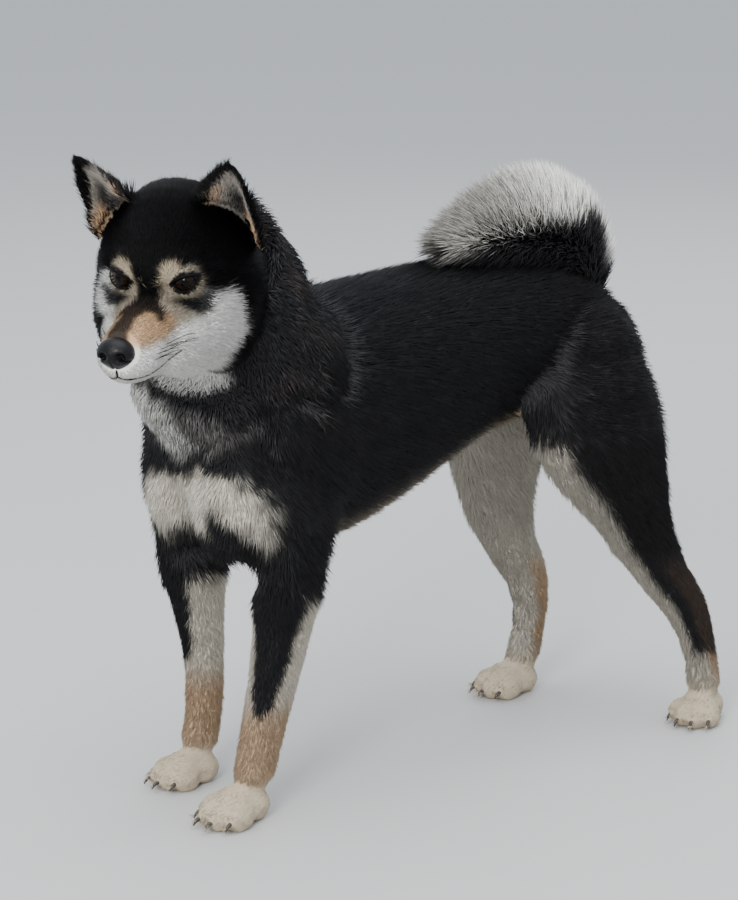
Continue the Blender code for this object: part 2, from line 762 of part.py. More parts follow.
# Tail: curled forward over the back, widest where its hair stands out most.
# Each ring is (centre, half width, outwards, towards the back), out to the tips of the hair.
TAIL_RINGS = [
    ((0.000, 0.186, 0.346), 0.024, 0.025, 0.022),
    ((0.000, 0.187, 0.371), 0.031, 0.033, 0.026),
    ((0.002, 0.172, 0.391), 0.037, 0.050, 0.030),
    ((0.004, 0.147, 0.402), 0.039, 0.059, 0.028),
    ((0.006, 0.118, 0.407), 0.039, 0.056, 0.026),
    ((0.008, 0.090, 0.409), 0.035, 0.043, 0.024),
    ((0.009, 0.066, 0.409), 0.027, 0.028, 0.018),
    ((0.010, 0.046, 0.407), 0.016, 0.014, 0.010),
]
TAIL_CORE = 0.50  # of the way out to the tips
TAIL_CORE_TRIANGLES = 320
TAIL_ROWS = 7
TAIL_ROUND = 6
TAIL_FAN = math.radians(125)  # how far round each side the locks reach, from straight outwards
TAIL_SWEEP = math.radians(30)  # how far the upper side locks sweep up and the lower ones down
TAIL_LEAN = 0.024  # how far a lock's tip lies on towards the tip of the tail
TAIL_HALF_WIDTH = 0.0175
TAIL_HALF_THICKNESS = 0.0019
BACK_CLEARANCE = 0.0024  # of a lock's middle above the back


def ring_frame(rings, at):
    """Centre, tangent, across, upward and the three radii at a place along the rings, counted in rings."""
    k = min(int(at), len(rings) - 2)
    part = at - k
    centre = Vector(rings[k][0]).lerp(Vector(rings[k + 1][0]), part)
    before = Vector(rings[max(k - 1, 0)][0]).lerp(Vector(rings[k][0]), part)
    after = Vector(rings[k + 1][0]).lerp(Vector(rings[min(k + 2, len(rings) - 1)][0]), part)
    tangent = (after - before).normalized()
    across = (Vector((1, 0, 0)) - tangent * tangent.x).normalized()
    radii = [a + (b - a) * part for a, b in zip(rings[k][1:], rings[k + 1][1:])]
    return centre, tangent, across, tangent.cross(across), radii


def spoke(across, upward, radii, turn):
    """From the middle of the tail out to its tips, at an angle from straight outwards."""
    half_width, outward, inward = radii
    reach = outward if math.cos(turn) > 0 else inward
    return across * half_width * math.sin(turn) + upward * reach * math.cos(turn)


def tail_locks(torso, chance):
    """Rows of locks that stand out from the core and lean on towards the tip of the tail."""
    surface = surface_of(torso)
    last = len(TAIL_RINGS) - 1
    locks = []
    for row in range(TAIL_ROWS):
        at = 0.35 + (last - 0.45) * row / (TAIL_ROWS - 1)
        centre, tangent, across, upward, radii = ring_frame(TAIL_RINGS, at)
        for k in range(TAIL_ROUND - row % 2):
            part = (k + 0.5 * (row % 2) + chance.uniform(-0.15, 0.15)) / (TAIL_ROUND - 1)
            turn = TAIL_FAN * (1 - 2 * part)
            swept = turn - TAIL_SWEEP * math.sin(2 * turn)
            lean = tangent * TAIL_LEAN * chance.uniform(0.8, 1.2)
            root = centre + spoke(across, upward, radii, turn) * TAIL_CORE * 0.45
            tip = centre + spoke(across, upward, radii, swept) * chance.uniform(0.92, 1.08) + lean
            knee = centre + spoke(across, upward, radii, turn) * 0.80 + lean * 0.15
            spine = lifted(bent(root, knee, tip), surface, BACK_CLEARANCE)
            flat = spoke(across, upward, radii, turn).normalized()
            half = TAIL_HALF_WIDTH * chance.uniform(0.85, 1.15)
            locks.append(lock(spine, flat, half, TAIL_HALF_THICKNESS))
    return locks


def tail_of(torso, chance):
    core_rings = []
    for centre, half_width, outward, inward in TAIL_RINGS:
        core_rings.append((centre, half_width * TAIL_CORE, outward * TAIL_CORE, inward * TAIL_CORE))
    form = loft("tail_form", core_rings)
    tail = fused("tail", [form], BODY_VOXEL * 0.7, 1, TAIL_CORE_TRIANGLES)
    join_locks(tail, tail_locks(torso, chance))
    cut_clear(tail, torso, margin=NODE_GAP * 2)
    return tail


# Where the nodes part. The head's box is in the head's frame, the others in the body's.
HEAD_BOX = ((-0.12, -0.12, -0.094), (0.12, 0.060, 0.14))
HEAD_BOX_TILT = math.radians(-10)
NECK_BOX = ((-0.16, -0.20, 0.0), (0.16, 0.20, 0.30))
NECK_BASE = (0.0, -0.135, 0.352)
NECK_LEAN = math.radians(38)
LEG_INSIDE = 0.012
LEG_OUTSIDE = 0.16
LEG_BOXES = {"foreleg": (0.174, -0.26, -0.07), "hindleg": (0.262, 0.078, 0.32)}  # top, front, behind
PAW_NAMES = {"foreleg": "forepaw", "hindleg": "hindpaw"}
BELOW = -0.05
BELOW_MARGIN = 0.01
STIFLE_HEIGHT = 0.165
PAW_TOP = 0.036


def part_leg(body, leg):
    """Parts one leg off the body, then its paw off the leg, and a hind leg's thigh off what is left."""
    x = LEG_RINGS[leg][-1][0][0]
    near, far = sorted((math.copysign(LEG_INSIDE, x), math.copysign(LEG_OUTSIDE, x)))
    kind, side = leg.split("_")
    top, front, behind = LEG_BOXES[kind]
    made = {leg: part_off(body, leg, (near, front, BELOW), (far, behind, top))}
    paw = f"{PAW_NAMES[kind]}_{side}"
    made[paw] = part_off(made[leg], paw, (near, front, BELOW), (far, behind, PAW_TOP))
    join_claws(made[paw], leg)
    if kind == "hindleg":
        thigh = f"thigh_{side}"
        low, high = (near, front, STIFLE_HEIGHT), (far, behind, top + BELOW_MARGIN)
        made[thigh] = part_off(made[leg], thigh, low, high)
    return made


def join_claws(paw, leg):
    claw_group = bpy.data.collections.new("claws")
    bpy.context.scene.collection.children.link(claw_group)
    for claw in claws(leg):
        helpers.objects.unlink(claw)
        claw_group.objects.link(claw)
    boolean(paw, "UNION", claw_group)
    remove(list(claw_group.objects))
    bpy.data.collections.remove(claw_group)
    largest_shell(paw)


def flesh_forms():
    """The whole body at one fineness, and the head and neck again at a finer one."""
    neck = neck_form()
    skull = head_masses()
    masses = torso_form() + neck + skull
    paws = []
    for leg, rings in LEG_RINGS.items():
        masses.append(loft("leg_form", rings))
        paws += paw_form(leg)
    blended = fused("masses", masses, BODY_VOXEL, BODY_BLENDING)
    body = fused("body", [blended] + paws, BODY_VOXEL, DETAIL_BLENDING, BODY_TRIANGLES)
    fine = fused("fine_masses", neck + skull, HEAD_VOXEL, HEAD_BLENDING)
    head = fused("fine_head", [fine] + head_details(), HEAD_VOXEL, DETAIL_BLENDING, HEAD_TRIANGLES)
    floor = box("below_floor", (-1, -1, -1), (1, 1, FLOOR))
    boolean(body, "DIFFERENCE", floor)
    return body, head


def build():
    body, fine_head = flesh_forms()
    chance = random.Random(LOCK_SEED)
    ruff = ruff_locks(body, chance)
    head_place = HEAD_PLACE @ Matrix.Rotation(HEAD_BOX_TILT, 4, "X")
    # The head is taken from the finer form, and leaves the body by the same box
    head = part_off(fine_head, "head", *HEAD_BOX, head_place)
    part_off(body, "coarse_head", *HEAD_BOX, head_place)
    carve_face(head)
    neck_place = Matrix.Translation(NECK_BASE) @ Matrix.Rotation(NECK_LEAN, 4, "X")
    made = {"head": head, "neck": part_off(body, "neck", *NECK_BOX, neck_place)}
    for leg in LEG_RINGS:
        made.update(part_leg(body, leg))
    made["torso"] = body
    join_locks(made["neck"], ruff)
    cut_clear(made["neck"], head, body)
    made["nose"] = nose(head)
    for name, side in (("left", 1), ("right", -1)):
        made["ear_" + name] = ear(side, head)
        made["eye_" + name] = eye(side, EYE_RADIUS)
    made["tail"] = tail_of(body, chance)
    return made


def finish(made):
    """Names the nodes, gives each its material, and moves the dog over the origin."""
    for thing in list(helpers.objects) + list(dog.objects):
        if thing not in made.values():
            remove([thing])
    low = Vector((math.inf,) * 3)
    high = -low
    for name, thing in made.items():
        thing.name = name
        thing.data.name = name
        for link in list(thing.users_collection):
            link.objects.unlink(thing)
        dog.objects.link(thing)
        thing.data.materials.clear()
        thing.data.materials.append(material_of(name))
        for vertex in thing.data.vertices:
            low = Vector(map(min, low, vertex.co))
            high = Vector(map(max, high, vertex.co))
    middle = (low + high) / 2
    shift = Vector((-middle.x, -middle.y, -low.z))
    for thing in made.values():
        thing.data.transform(Matrix.Translation(shift))
    return shift


def material_of(name):
    if name.startswith("eye"):
        return EYE_DARK
    if name == "nose":
        return NOSE_LEATHER
    if name == "tail":
        return SILVER_COAT
    if "paw" in name:
        return CREAM_COAT
    return BLACK_COAT


nodes = build()
SHIFT = finish(nodes)
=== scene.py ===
import math

import bmesh
import bpy
import numpy as np
from mathutils import Matrix, Vector
from mathutils.bvhtree import BVHTree


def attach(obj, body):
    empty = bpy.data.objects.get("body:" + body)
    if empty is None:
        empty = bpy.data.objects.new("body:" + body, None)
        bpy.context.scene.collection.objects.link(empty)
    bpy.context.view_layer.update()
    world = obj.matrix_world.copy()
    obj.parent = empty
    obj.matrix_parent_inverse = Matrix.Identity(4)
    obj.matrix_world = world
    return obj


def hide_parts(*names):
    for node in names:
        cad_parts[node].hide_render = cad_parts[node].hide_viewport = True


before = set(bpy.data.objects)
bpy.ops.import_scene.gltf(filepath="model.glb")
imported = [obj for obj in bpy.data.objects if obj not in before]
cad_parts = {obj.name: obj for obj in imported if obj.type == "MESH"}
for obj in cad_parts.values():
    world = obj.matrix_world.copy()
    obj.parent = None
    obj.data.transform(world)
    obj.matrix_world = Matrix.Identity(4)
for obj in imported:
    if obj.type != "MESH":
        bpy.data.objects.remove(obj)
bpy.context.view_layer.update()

# The hide: one closed skin over the whole dog, nose leather, eyes and claws apart.
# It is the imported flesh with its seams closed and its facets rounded, let down by the depth of the coat,
# so that the hair that grows from it ends at the outline of the solids.

FLESH = [
    "head", "torso", "ear_left", "ear_right",
    "foreleg_left", "foreleg_right", "forepaw_left", "forepaw_right", "thigh_left", "thigh_right",
    "hindleg_left", "hindleg_right", "hindpaw_left", "hindpaw_right",
]
CENTRED = Vector((-0.0225, 0.0255, 0.0))  # from the dog's own middle plane and withers to the frame
HEAD = (
    Matrix.Translation(Vector((0.0826, -0.2674, 0.426)) + CENTRED)
    @ Matrix.Rotation(math.radians(35.4), 4, "Z")
    @ Matrix.Rotation(math.radians(8.8), 4, "X")
)
# Neck and tail, ring by ring: (centre, half width, towards the nape or up, towards the throat or down)
NECK_RINGS = [
    ((0.000, -0.084, 0.302), 0.060, 0.048, 0.072),
    ((0.004, -0.118, 0.336), 0.072, 0.053, 0.080),
    ((0.013, -0.146, 0.369), 0.074, 0.061, 0.079),
    ((0.024, -0.170, 0.397), 0.076, 0.070, 0.076),
    ((0.036, -0.190, 0.414), 0.070, 0.073, 0.070),
    ((0.046, -0.206, 0.424), 0.060, 0.070, 0.060),
]
TAIL_RINGS = [
    ((0.000, 0.186, 0.346), 0.024, 0.025, 0.022),
    ((0.000, 0.187, 0.371), 0.031, 0.033, 0.026),
    ((0.002, 0.172, 0.391), 0.037, 0.050, 0.030),
    ((0.004, 0.147, 0.402), 0.039, 0.059, 0.028),
    ((0.006, 0.118, 0.407), 0.039, 0.056, 0.026),
    ((0.008, 0.090, 0.409), 0.035, 0.043, 0.024),
    ((0.009, 0.066, 0.409), 0.027, 0.028, 0.018),
    ((0.010, 0.046, 0.407), 0.016, 0.014, 0.010),
]
TAIL_CORE = 0.42  # of the way out to the tips of the brush
THROAT_BALL = ((0.018, -0.190, 0.330), (0.056, 0.044, 0.048))
NAPE_BALL = ((0.030, -0.178, 0.445), (0.052, 0.047, 0.036))
SEAM_CLOSING = 0.0005  # each node of flesh is let out by this much before they are fused
SKIN_VOXEL = 0.0019
RING_SIDES = 24
EAR_LEAN = (-0.0050, 0.0, -0.0020)  # of the tips, in the head's own frame

EYE_CENTRE = np.array((0.0217, 0.0097, 0.0))
EYE_RADIUS = 0.0100
EYE_OUTWARD = math.radians(20)
LID_RADIUS = 0.0122
LID_OPENING = (0.0108, 0.0053)
LID_SHIFT = (-0.0012, 0.0000)  # of the middle of the slit from the middle of the ball: inwards, down
LID_SLANT = math.radians(21)


def ring_frame(rings, at):
    """Centre, tangent, across, upward and the three radii at a place along the rings, counted in rings."""
    k = min(int(at), len(rings) - 2)
    part = at - k
    centre = Vector(rings[k][0]).lerp(Vector(rings[k + 1][0]), part)
    before = Vector(rings[max(k - 1, 0)][0]).lerp(Vector(rings[k][0]), part)
    after = Vector(rings[k + 1][0]).lerp(Vector(rings[min(k + 2, len(rings) - 1)][0]), part)
    tangent = (after - before).normalized()
    across = (Vector((1, 0, 0)) - tangent * tangent.x).normalized()
    radii = [a + (b - a) * part for a, b in zip(rings[k][1:], rings[k + 1][1:])]
    return centre, tangent, across, tangent.cross(across), radii


def add_loft(shape, rings, scale=1.0):
    """A closed loft over rings, added to a bmesh."""
    steps = 4 * (len(rings) - 1)
    loops = []
    for i in range(steps + 1):
        centre, _, across, upward, radii = ring_frame(rings, i / 4)
        half_width, up, down = (r * scale for r in radii)
        loop = []
        for k in range(RING_SIDES):
            angle = 2 * math.pi * k / RING_SIDES
            reach = up if math.sin(angle) > 0 else down
            spot = centre + across * half_width * math.cos(angle) + upward * reach * math.sin(angle)
            loop.append(shape.verts.new(spot + CENTRED))
        loops.append(loop)
    for lower, upper in zip(loops, loops[1:]):
        for k in range(RING_SIDES):
            n = (k + 1) % RING_SIDES
            shape.faces.new((lower[k], lower[n], upper[n], upper[k]))
    shape.faces.new(loops[0])
    shape.faces.new(loops[-1])


def add_ball(shape, centre, radii, turned=0.0):
    place = Matrix.Translation(Vector(centre) + CENTRED) @ Matrix.Rotation(math.radians(turned), 4, "Z")
    bmesh.ops.create_uvsphere(
        shape, u_segments=32, v_segments=20, radius=1.0, matrix=place @ Matrix.Diagonal((*radii, 1.0))
    )


def fused_flesh():
    """The nodes of flesh let out to touch, with plain cores for neck and tail, fused by a voxel remesh."""
    flesh = bmesh.new()
    for node in FLESH:
        part = bmesh.new()
        part.from_mesh(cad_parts[node].data)
        bmesh.ops.remove_doubles(part, verts=part.verts, dist=0.00001)
        part.normal_update()
        for vert in part.verts:
            vert.co += vert.normal * SEAM_CLOSING
        mesh = bpy.data.meshes.new(node + "_copy")
        part.to_mesh(mesh)
        part.free()
        flesh.from_mesh(mesh)
        bpy.data.meshes.remove(mesh)
    cores = bmesh.new()
    add_loft(cores, NECK_RINGS)
    add_loft(cores, TAIL_RINGS, TAIL_CORE)
    add_ball(cores, *THROAT_BALL, 20)
    add_ball(cores, *NAPE_BALL, 20)
    for side in (1, -1):  # the sockets are filled, so that the lids have skin to be drawn from
        spot = Matrix.Translation(HEAD @ Vector((EYE_CENTRE[0] * side, EYE_CENTRE[1], EYE_CENTRE[2])))
        bmesh.ops.create_uvsphere(cores, u_segments=32, v_segments=20, radius=LID_RADIUS * 0.95, matrix=spot)
    bmesh.ops.recalc_face_normals(cores, faces=cores.faces)
    mesh = bpy.data.meshes.new("cores")
    cores.to_mesh(mesh)
    cores.free()
    flesh.from_mesh(mesh)
    bpy.data.meshes.remove(mesh)
    mesh = bpy.data.meshes.new("flesh")
    flesh.to_mesh(mesh)
    flesh.free()
    whole = bpy.data.objects.new("flesh", mesh)
    bpy.context.scene.collection.objects.link(whole)
    remesh = whole.modifiers.new("fuse", "REMESH")
    remesh.mode = "VOXEL"
    remesh.voxel_size = SKIN_VOXEL
    remesh.adaptivity = 0.0
    shrunk = bpy.data.meshes.new_from_object(whole.evaluated_get(bpy.context.evaluated_depsgraph_get()))
    bpy.data.objects.remove(whole, do_unlink=True)
    return shrunk


def vertex_array(mesh):
    points = np.empty(len(mesh.vertices) * 3)
    mesh.vertices.foreach_get("co", points)
    return points.reshape(-1, 3)


def edge_array(mesh):
    edges = np.empty(len(mesh.edges) * 2, np.int32)
    mesh.edges.foreach_get("vertices", edges)
    return edges.reshape(-1, 2)


def triangle_array(mesh):
    mesh.calc_loop_triangles()
    triangles = np.empty(len(mesh.loop_triangles) * 3, np.int32)
    mesh.loop_triangles.foreach_get("vertices", triangles)
    return triangles.reshape(-1, 3)


def unit(vectors):
    return vectors / np.maximum(np.linalg.norm(vectors, axis=-1, keepdims=True), 1e-12)


def point_normals(points, triangles):
    a, b, c = (points[triangles[:, k]] for k in range(3))
    square = np.cross(b - a, c - a)
    summed = np.zeros_like(points)
    for k in range(3):
        for axis in range(3):
            summed[:, axis] += np.bincount(triangles[:, k], square[:, axis], len(points))
    return unit(summed)


class Neighbours:
    """Averages of a value over the neighbours of each point, for rounding and for blending."""

    def __init__(self, edges, count):
        self.a, self.b, self.count = edges[:, 0], edges[:, 1], count
        self.degree = np.bincount(self.a, minlength=count) + np.bincount(self.b, minlength=count)
        self.degree = np.maximum(self.degree, 1)

    def mean(self, values):
        flat = values.reshape(self.count, -1)
        total = np.empty_like(flat)
        for k in range(flat.shape[1]):
            total[:, k] = np.bincount(self.a, flat[self.b, k], self.count)
            total[:, k] += np.bincount(self.b, flat[self.a, k], self.count)
        return (total / self.degree[:, None]).reshape(values.shape)

    def blend(self, values, rounds):
        for _ in range(rounds):
            values = 0.5 * values + 0.5 * self.mean(values)
        return values


def step(low, high, value):
    """0 below low, 1 above high, and smooth between."""
    part = np.clip((value - low) / (high - low), 0.0, 1.0)
    return part * part * (3 - 2 * part)


def in_head(points):
    """Points of the frame in the head's own frame: origin between the eyes, -Y along the muzzle."""
    turn = np.array(HEAD.inverted())
    return points @ turn[:3, :3].T + turn[:3, 3]


def from_head(points):
    turn = np.array(HEAD)
    return points @ turn[:3, :3].T + turn[:3, 3]


def eye_view(points, side):
    """Head points as seen straight into one eye: along the slit (outer corner +), up, and out of the eye."""
    centre = EYE_CENTRE * (side, 1, 1)
    turn = Matrix.Rotation(EYE_OUTWARD * side, 3, "Z") @ Matrix.Rotation(-LID_SLANT * side, 3, "Y")
    local = (points - centre) @ np.array(turn)
    return np.stack([local[:, 0] * side, local[:, 2], -local[:, 1]], axis=1)


def from_eye_view(local, side):
    centre = EYE_CENTRE * (side, 1, 1)
    turn = Matrix.Rotation(EYE_OUTWARD * side, 3, "Z") @ Matrix.Rotation(-LID_SLANT * side, 3, "Y")
    out = np.stack([local[:, 0] * side, -local[:, 2], local[:, 1]], axis=1)
    return out @ np.array(turn).T + centre


def slit_measure(along, high):
    """1 on the edge of the slit between the lids, under 1 inside it. Corners are pointed."""
    half_length, half_height = LID_OPENING
    x = (along - LID_SHIFT[0]) / half_length
    room = np.maximum(1 - 0.25 * np.clip(x * x, 0, 1), 0.5)
    return np.sqrt(x * x + ((high - LID_SHIFT[1]) / (half_height * room)) ** 2)


skin_mesh = fused_flesh()
points = vertex_array(skin_mesh)
triangles = triangle_array(skin_mesh)
near = Neighbours(edge_array(skin_mesh), len(points))

# Which node each point of the skin lies over
NODES = FLESH + ["neck", "tail"]
over, owners = bmesh.new(), []
cad_points, cad_faces = [], []
for index, node in enumerate(NODES):
    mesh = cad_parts[node].data
    start = len(cad_points)
    cad_points += [v.co.copy() for v in mesh.vertices]
    for face in mesh.polygons:
        cad_faces.append([start + k for k in face.vertices])
        owners.append(index)
over.free()
cad_tree = BVHTree.FromPolygons(cad_points, cad_faces)
share = np.zeros((len(points), len(NODES)))
for i, point in enumerate(points):
    share[i, owners[cad_tree.find_nearest(point)[2]]] = 1.0

share = near.blend(share, 8)


def part_of(*nodes):
    """How much of each skin point belongs to these nodes, from 0 to 1."""
    return sum(share[:, NODES.index(n)] for n in nodes)


# Rounding the facets: strongly on the body, lightly on head, ears and paws
fine = part_of("head", "ear_left", "ear_right", "forepaw_left", "forepaw_right", "hindpaw_left", "hindpaw_right")
BODY_ROUNDS, HEAD_ROUNDS, NECK_ROUNDS = 44, 14, 70
rounded = points.copy()
for turn in range(BODY_ROUNDS):
    for pull in (0.60, -0.62):
        strength = pull if turn < HEAD_ROUNDS else pull * (1 - fine)[:, None]
        rounded += strength * (near.mean(rounded) - rounded)
neck_weight = part_of("neck", "tail")[:, None]
for _ in range(NECK_ROUNDS):
    for pull in (0.60, -0.61):
        rounded += pull * neck_weight * (near.mean(rounded) - rounded)

# The ledge where the neck stands on the right shoulder is worn down: its line from the side, as (y, z)
LEDGE, LEDGE_REACH, LEDGE_ROUNDS = ((-0.130, 0.327), (-0.214, 0.272)), (0.028, 0.010), 60
(ledge_y, ledge_z), (ledge_end_y, ledge_end_z) = LEDGE
run_y, run_z = ledge_end_y - ledge_y, ledge_end_z - ledge_z
off_y, off_z = rounded[:, 1] - CENTRED.y - ledge_y, rounded[:, 2] - ledge_z
along_ledge = np.clip((off_y * run_y + off_z * run_z) / (run_y ** 2 + run_z ** 2), 0, 1)
off_ledge = np.hypot(off_y - along_ledge * run_y, off_z - along_ledge * run_z)
worn = step(*LEDGE_REACH, off_ledge) * step(0.005, -0.015, rounded[:, 0] - CENTRED.x)
worn *= part_of("neck", "torso")
for _ in range(LEDGE_ROUNDS):
    rounded += 0.6 * worn[:, None] * (near.mean(rounded) - rounded)
head_points = in_head(rounded)

# The ears lean a little to the dog's right
up_ear = np.clip((head_points[:, 2] - 0.030) / 0.048, 0, 1) * part_of("ear_left", "ear_right")
rounded += up_ear[:, None] * (np.array(HEAD)[:3, :3] @ np.array(EAR_LEAN))
normals = point_normals(rounded, triangles)
head_points = in_head(rounded)

# How deep the coat is, in metres, node by node
COAT_DEPTH = {
    "head": 0.0030, "ear_left": 0.0008, "ear_right": 0.0008, "neck": 0.0080, "torso": 0.0065,
    "tail": 0.0, "thigh_left": 0.0055, "thigh_right": 0.0055, "foreleg_left": 0.0030,
    "foreleg_right": 0.0030, "hindleg_left": 0.0030, "hindleg_right": 0.0030, "forepaw_left": 0.0012,
    "forepaw_right": 0.0012, "hindpaw_left": 0.0012, "hindpaw_right": 0.0012,
}
depth = sum(share[:, k] * COAT_DEPTH[node] for k, node in enumerate(NODES))
on_head = part_of("head")
muzzle = on_head * step(-0.010, -0.030, head_points[:, 1])
cheek = on_head * step(-0.002, 0.030, head_points[:, 1]) * step(0.010, -0.020, head_points[:, 2])
depth += -0.0014 * muzzle + 0.0035 * cheek
nape_back = part_of("neck", "torso") * step(-0.1, 0.5, normals[:, 1]) * step(0.365, 0.405, rounded[:, 2])
nape_back *= step(-0.06, -0.10, rounded[:, 1] - CENTRED.y)
depth *= step(0.0, 0.006, rounded[:, 2])  # the soles stay on the floor
depth = near.blend(depth, 80)
skin = rounded - normals * (depth + 0.0110 * near.blend(nape_back, 60))[:, None]
skin = near.blend(skin, 1)
skin[:, 2] = np.maximum(skin[:, 2], 0.0002)

# The lids lie on the eyeball; inside the slit the skin turns in behind it
head_points = in_head(skin)
slit = np.full(len(skin), 9.0)
for side in (1, -1):
    seen = eye_view(head_points, side)
    distance = np.linalg.norm(seen, axis=1)
    close = (distance < 0.024) & (seen[:, 2] > 0.0)
    measure = slit_measure(seen[:, 0], seen[:, 1])
    slit = np.where(close, np.minimum(slit, measure), slit)
    outward = unit(seen)
    on_lid = outward * LID_RADIUS
    behind = outward * EYE_RADIUS * 0.80
    hold = close * step(2.3, 1.30, measure)
    moved = seen + (on_lid - seen) * hold[:, None]
    sunk = close * step(1.15, 1.00, measure)
    moved += (behind - moved) * sunk[:, None]
    back = from_eye_view(moved, side)
    head_points = np.where(close[:, None], back, head_points)
skin = np.where((slit < 8.9)[:, None], from_head(head_points), skin)
normals = point_normals(skin, triangles)
head_points = in_head(skin)
body = skin - np.array(CENTRED)


# Markings. Black above; white on cheeks, jaw, throat, breast, inside of the legs and under the tail;
# tan between the two. Every colour is linear. Each outline is a loop of corners on one view of the part.
BLACK = np.array((0.0300, 0.0300, 0.0320))
BROWN_BLACK = np.array((0.025, 0.020, 0.018))
GREY = np.array((0.20, 0.19, 0.18))
WHITE = np.array((0.84, 0.83, 0.78))
CREAM = np.array((0.62, 0.52, 0.38))
TAN = np.array((0.48, 0.27, 0.13))

CHEEK = [  # from the side: (y, z)
    (0.0153, -0.0085), (0.0281, -0.0130), (0.0310, -0.0301), (0.0311, -0.0438), (0.0240, -0.0500),
    (0.0185, -0.0580), (0.0270, -0.0733), (0.0440, -0.0880), (0.0560, -0.0990), (0.0480, -0.1035), (0.0100, -0.1100),
    (-0.0500, -0.0800), (-0.0850, -0.0500), (-0.0850, -0.0250), (-0.0600, -0.0245), (-0.0254, -0.0300),
    (-0.0080, -0.0260), (0.0049, -0.0260),
]
UNDER_JAW = [  # the middle of the jaw and the throat below it, from the side: (y, z)
    (-0.0500, -0.0450), (0.0300, -0.0500), (0.0600, -0.0680), (0.0640, -0.0985), (0.0460, -0.1030), (0.0000, -0.1030),
]
MUZZLE_SIDE = [  # from the side: (y, z)
    (-0.0700, -0.0150), (-0.0500, -0.0100), (-0.0180, -0.0060), (-0.0050, -0.0080), (0.0000, -0.0190),
    (0.0060, -0.0260), (-0.0100, -0.0340), (-0.0700, -0.0300),
]
MUZZLE_TAN = [  # from the side: (y, z)
    (-0.0640, -0.0180), (-0.0420, -0.0100), (-0.0190, -0.0090), (-0.0110, -0.0180), (-0.0110, -0.0250),
    (-0.0260, -0.0300), (-0.0500, -0.0290), (-0.0640, -0.0260),
]
BROW = [  # from the front: (|x|, z)
    (0.0105, 0.0105), (0.0135, 0.0150), (0.0180, 0.0162), (0.0235, 0.0142), (0.0245, 0.0095),
    (0.0195, 0.0050), (0.0140, -0.0050), (0.0100, -0.0060), (0.0092, 0.0020),
]
EYE_RING = [  # from the front: (|x|, z)
    (0.0190, 0.0095), (0.0290, 0.0112), (0.0360, 0.0065), (0.0372, -0.0010), (0.0360, -0.0080),
    (0.0290, -0.0118), (0.0170, -0.0122), (0.0100, -0.0095), (0.0105, -0.0020), (0.0140, 0.0060),
]
GRIZZLE = [  # from the front: (|x|, z)
    (0.0250, 0.0110), (0.0330, 0.0125), (0.0400, 0.0080), (0.0425, 0.0000), (0.0390, -0.0040), (0.0360, 0.0050),
]
SMUDGE = [  # from the front: (|x|, z)
    (0.0225, -0.0128), (0.0300, -0.0130), (0.0375, -0.0105), (0.0420, -0.0070), (0.0435, -0.0120),
    (0.0405, -0.0220), (0.0350, -0.0240), (0.0275, -0.0210),
]
FAR_STRIPE = [  # the white up the right side of the face, from the side: (y, z)
    (0.0160, 0.0000), (0.0240, -0.0050), (0.0200, -0.0200), (0.0110, -0.0290), (0.0000, -0.0280),
    (0.0070, -0.0190), (0.0100, -0.0110), (0.0125, -0.0040),
]
BRIDGE = [  # from above: (x, y)
    (-0.0115, -0.0640), (0.0060, -0.0640), (0.0045, -0.0450), (0.0025, -0.0330), (0.0045, -0.0220),
    (0.0110, -0.0210), (0.0150, -0.0260), (0.0180, -0.0200), (0.0150, -0.0110), (0.0070, -0.0060),
    (-0.0100, -0.0060), (-0.0190, -0.0120), (-0.0215, -0.0200), (-0.0185, -0.0260), (-0.0145, -0.0215),
    (-0.0115, -0.0330),
]
THROAT = [  # from the front: (x, z)
    (-0.034, 0.322), (-0.012, 0.330), (0.006, 0.328), (0.022, 0.321), (0.033, 0.313), (0.035, 0.300),
    (0.030, 0.284), (0.018, 0.273), (0.004, 0.282), (-0.018, 0.300),
]
THROAT_SIDES = [
    (0.041, 0.314), (0.050, 0.311), (0.055, 0.303), (0.054, 0.292), (0.049, 0.284), (0.042, 0.280),
    (0.039, 0.296),
]
BOW = [  # the breast from the front: (x, z)
    (-0.046, 0.226), (-0.042, 0.240), (-0.032, 0.251), (-0.006, 0.260), (0.010, 0.257), (0.024, 0.262),
    (0.034, 0.267), (0.046, 0.263), (0.058, 0.261), (0.064, 0.254), (0.068, 0.247), (0.070, 0.240),
    (0.069, 0.228), (0.066, 0.213), (0.062, 0.205), (0.0615, 0.213), (0.058, 0.222), (0.053, 0.231),
    (0.044, 0.243), (0.038, 0.232), (0.037, 0.216), (0.028, 0.219), (0.014, 0.233), (0.006, 0.238),
    (-0.006, 0.224), (-0.018, 0.211), (-0.036, 0.203), (-0.044, 0.213),
]


def inside(u, v, outline, soft):
    """1 inside the outline, 0 outside it, with an edge as wide as soft."""
    corners = np.array(outline)
    nearest = np.full(len(u), 9.0)
    within = np.zeros(len(u), bool)
    for (u0, v0), (u1, v1) in zip(corners, np.roll(corners, -1, axis=0)):
        du, dv = u1 - u0, v1 - v0
        part = np.clip(((u - u0) * du + (v - v0) * dv) / (du * du + dv * dv), 0, 1)
        nearest = np.minimum(nearest, np.hypot(u - u0 - part * du, v - v0 - part * dv))
        crossing = (v0 > v) != (v1 > v)
        with np.errstate(divide="ignore", invalid="ignore"):
            at = u0 + (v - v0) * du / dv
        within ^= crossing & (u < at)
    signed = np.where(within, nearest, -nearest)
    return step(-soft / 2, soft / 2, signed)


